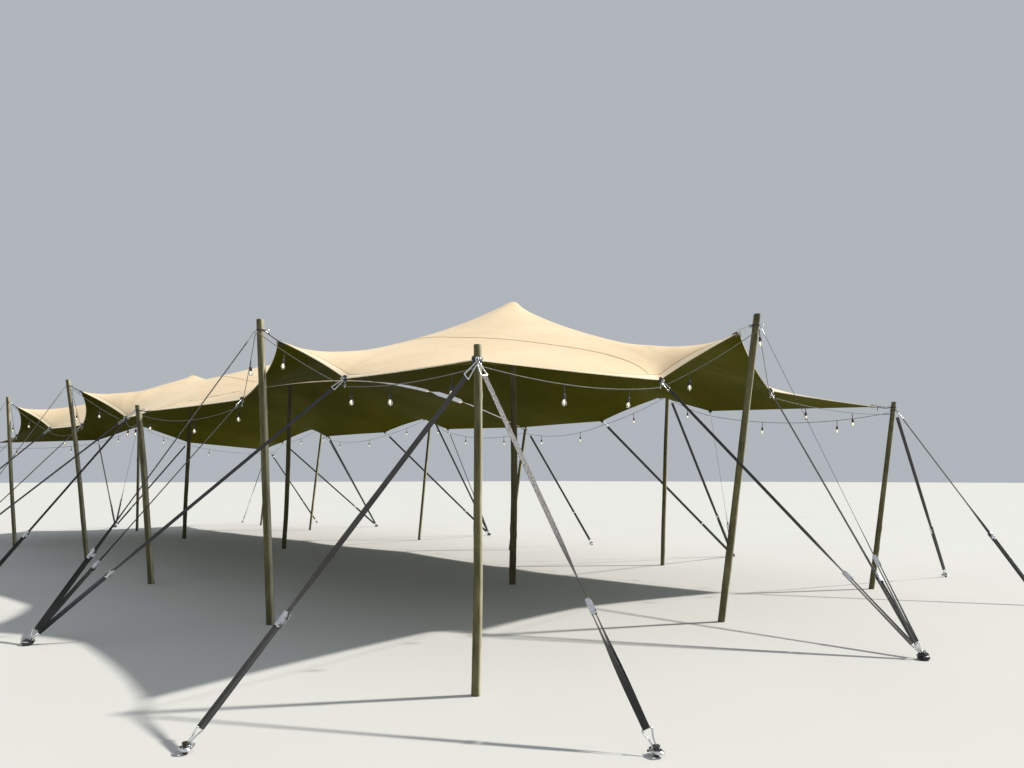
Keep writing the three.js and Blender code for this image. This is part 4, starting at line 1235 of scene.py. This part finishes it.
# festoon lamps: a short lead, a ribbed socket and a small round bulb, each outline as radius and depth
lamp = {
    "steps": 16, "lead": 0.08, "leadRadius": 0.0045, "collar": (0.007, 0.004), "socket": 0.05,
    "socketRadius": 0.0145,
    "socketOutline": [(0.85, 0.004), (1, 0.01), (1, 0.018), (0.9, 0.021), (1, 0.024), (1, 0.032),
                      (0.9, 0.035), (1, 0.038), (1.06, 0.046), (1.06, 0.05), (0, 0.05)],
    "neck": [(0, -0.001), (0.0125, -0.001), (0.0135, 0.006)], "bulb": 0.0215, "bulbLong": 0.056,
    "bulbOutline": [(0.82, 0.3), (1, 0.5), (0.97, 0.66), (0.78, 0.84), (0.42, 0.96), (0, 1)],
    "filament": [(0, 0.002), (0.003, 0.002), (0.0035, 0.03), (0.0015, 0.042), (0, 0.043)], "filamentSteps": 8,
    "tilt": 0.05, "seed": 5,
}


def spunShape(target, profile, steps, slotIndex):
    # a round shape spun from its outline, radius and height
    verts = [target.verts.new((radius, 0, height)) for radius, height in profile]
    edges = [target.edges.new(pair) for pair in zip(verts, verts[1:])]
    before = set(target.faces)
    bmesh.ops.spin(target, geom=verts + edges, cent=(0, 0, 0), axis=(0, 0, 1), angle=2 * math.pi, steps=steps,
                   use_merge=True)
    for face in set(target.faces) - before:
        face.material_index = slotIndex


def lampPattern():
    shape = bmesh.new()
    top = -string["radius"] * 0.5
    low = top - lamp["lead"]
    base = low - lamp["socket"]
    collar, rise = lamp["collar"]
    lead = [(0, top), (lamp["leadRadius"], top), (lamp["leadRadius"], low + rise), (collar, low)]
    socket = [(lamp["socketRadius"] * wide, low - depth) for wide, depth in lamp["socketOutline"]]
    neck = [(radius, base - depth) for radius, depth in lamp["neck"]]
    bulb = [(lamp["bulb"] * wide, base - lamp["bulbLong"] * depth) for wide, depth in lamp["bulbOutline"]]
    spunShape(shape, lead + socket, lamp["steps"], 0)
    spunShape(shape, neck + bulb, lamp["steps"], 1)
    spunShape(shape, [(radius, base - depth) for radius, depth in lamp["filament"]], lamp["filamentSteps"], 2)
    bmesh.ops.remove_doubles(shape, verts=shape.verts, dist=0.00005)
    bmesh.ops.recalc_face_normals(shape, faces=shape.faces)
    return asMesh(shape, "lamp pattern")


def makeLamps():
    chance = random.Random(lamp["seed"])
    pattern = lampPattern()
    for name, places in lampPlaces.items():
        lamps = bmesh.new()
        for place in places:
            tilt = [Matrix.Rotation(chance.uniform(-lamp["tilt"], lamp["tilt"]), 4, axis) for axis in "XY"]
            pourCopy(pattern, lamps, Matrix.Translation(place) @ tilt[0] @ tilt[1])
        meshPiece(name + "_lamps", lamps, [socketPlastic, bulbGlass, filament], (name,))


makeLamps()
print("lamps made")

# lacing that joins the two sheets along the joint
lacing = {"pitch": 0.16, "reach": 0.05, "radius": 0.003, "lift": 0.009}


def makeLacing():
    edges = [surfaces["canopy_right"][0], surfaces["canopy_left"][-1]]
    steps = np.linalg.norm(np.diff(edges[1], axis=0), axis=1)
    along = np.concatenate([[0], np.cumsum(steps)])
    count = int(along[-1] / lacing["pitch"])
    at = np.linspace(0, along[-1], count)
    holes = [np.stack([np.interp(at, along, edge[:, axis]) for axis in range(3)], axis=1) for edge in edges]
    zigzag = []
    for k in range(count):
        side = -1 if k % 2 else 1
        zigzag.append(Vector(holes[k % 2][k]) + Vector((side * lacing["reach"], 0, lacing["lift"])))
    wirePiece("joint_lacing", [zigzag], lacing["radius"], paleRope)


makeLacing()
print("lacing made")

# floor, light and backdrop
studio = {
    "floor": 300, "floorColour": (0.62, 0.62, 0.59), "floorWorn": 0.97, "floorPatches": (0.4, 4),
    "sunTurn": 56, "sunHeight": 47, "sunPower": 4.0, "sunSize": 2.0, "sunColour": (1.0, 0.96, 0.9),
    "sky": (0.87, 0.93, 1.0), "skyPower": 0.5,
}


def makeFloor():
    shape = bmesh.new()
    bmesh.ops.create_grid(shape, x_segments=1, y_segments=1, size=studio["floor"])
    mesh = asMesh(shape, "floor")
    colour = studio["floorColour"]
    worn = [channel * studio["floorWorn"] for channel in colour]
    patches = makePlain("floor", studio["floorPatches"], ((0.3, worn), (0.7, colour)), Roughness=0.95)
    mesh.materials.append(patches)
    newObject("floor", mesh)


def makeLight():
    sun = bpy.data.lights.new("sun", "SUN")
    sun.energy = studio["sunPower"]
    sun.angle = math.radians(studio["sunSize"])
    sun.color = studio["sunColour"]
    turn, height = math.radians(studio["sunTurn"]), math.radians(studio["sunHeight"])
    toSun = around(turn, math.cos(height), math.sin(height))
    newObject("sun", sun).rotation_euler = toSun.to_track_quat("Z", "Y").to_euler()
    world = bpy.data.worlds.new("pale sky")
    world.use_nodes = True
    sky = world.node_tree.nodes["Background"]
    sky.inputs["Color"].default_value = (*studio["sky"], 1)
    sky.inputs["Strength"].default_value = studio["skyPower"]
    bpy.context.scene.world = world
    bpy.context.scene.view_settings.view_transform = "Standard"


makeFloor()
makeLight()
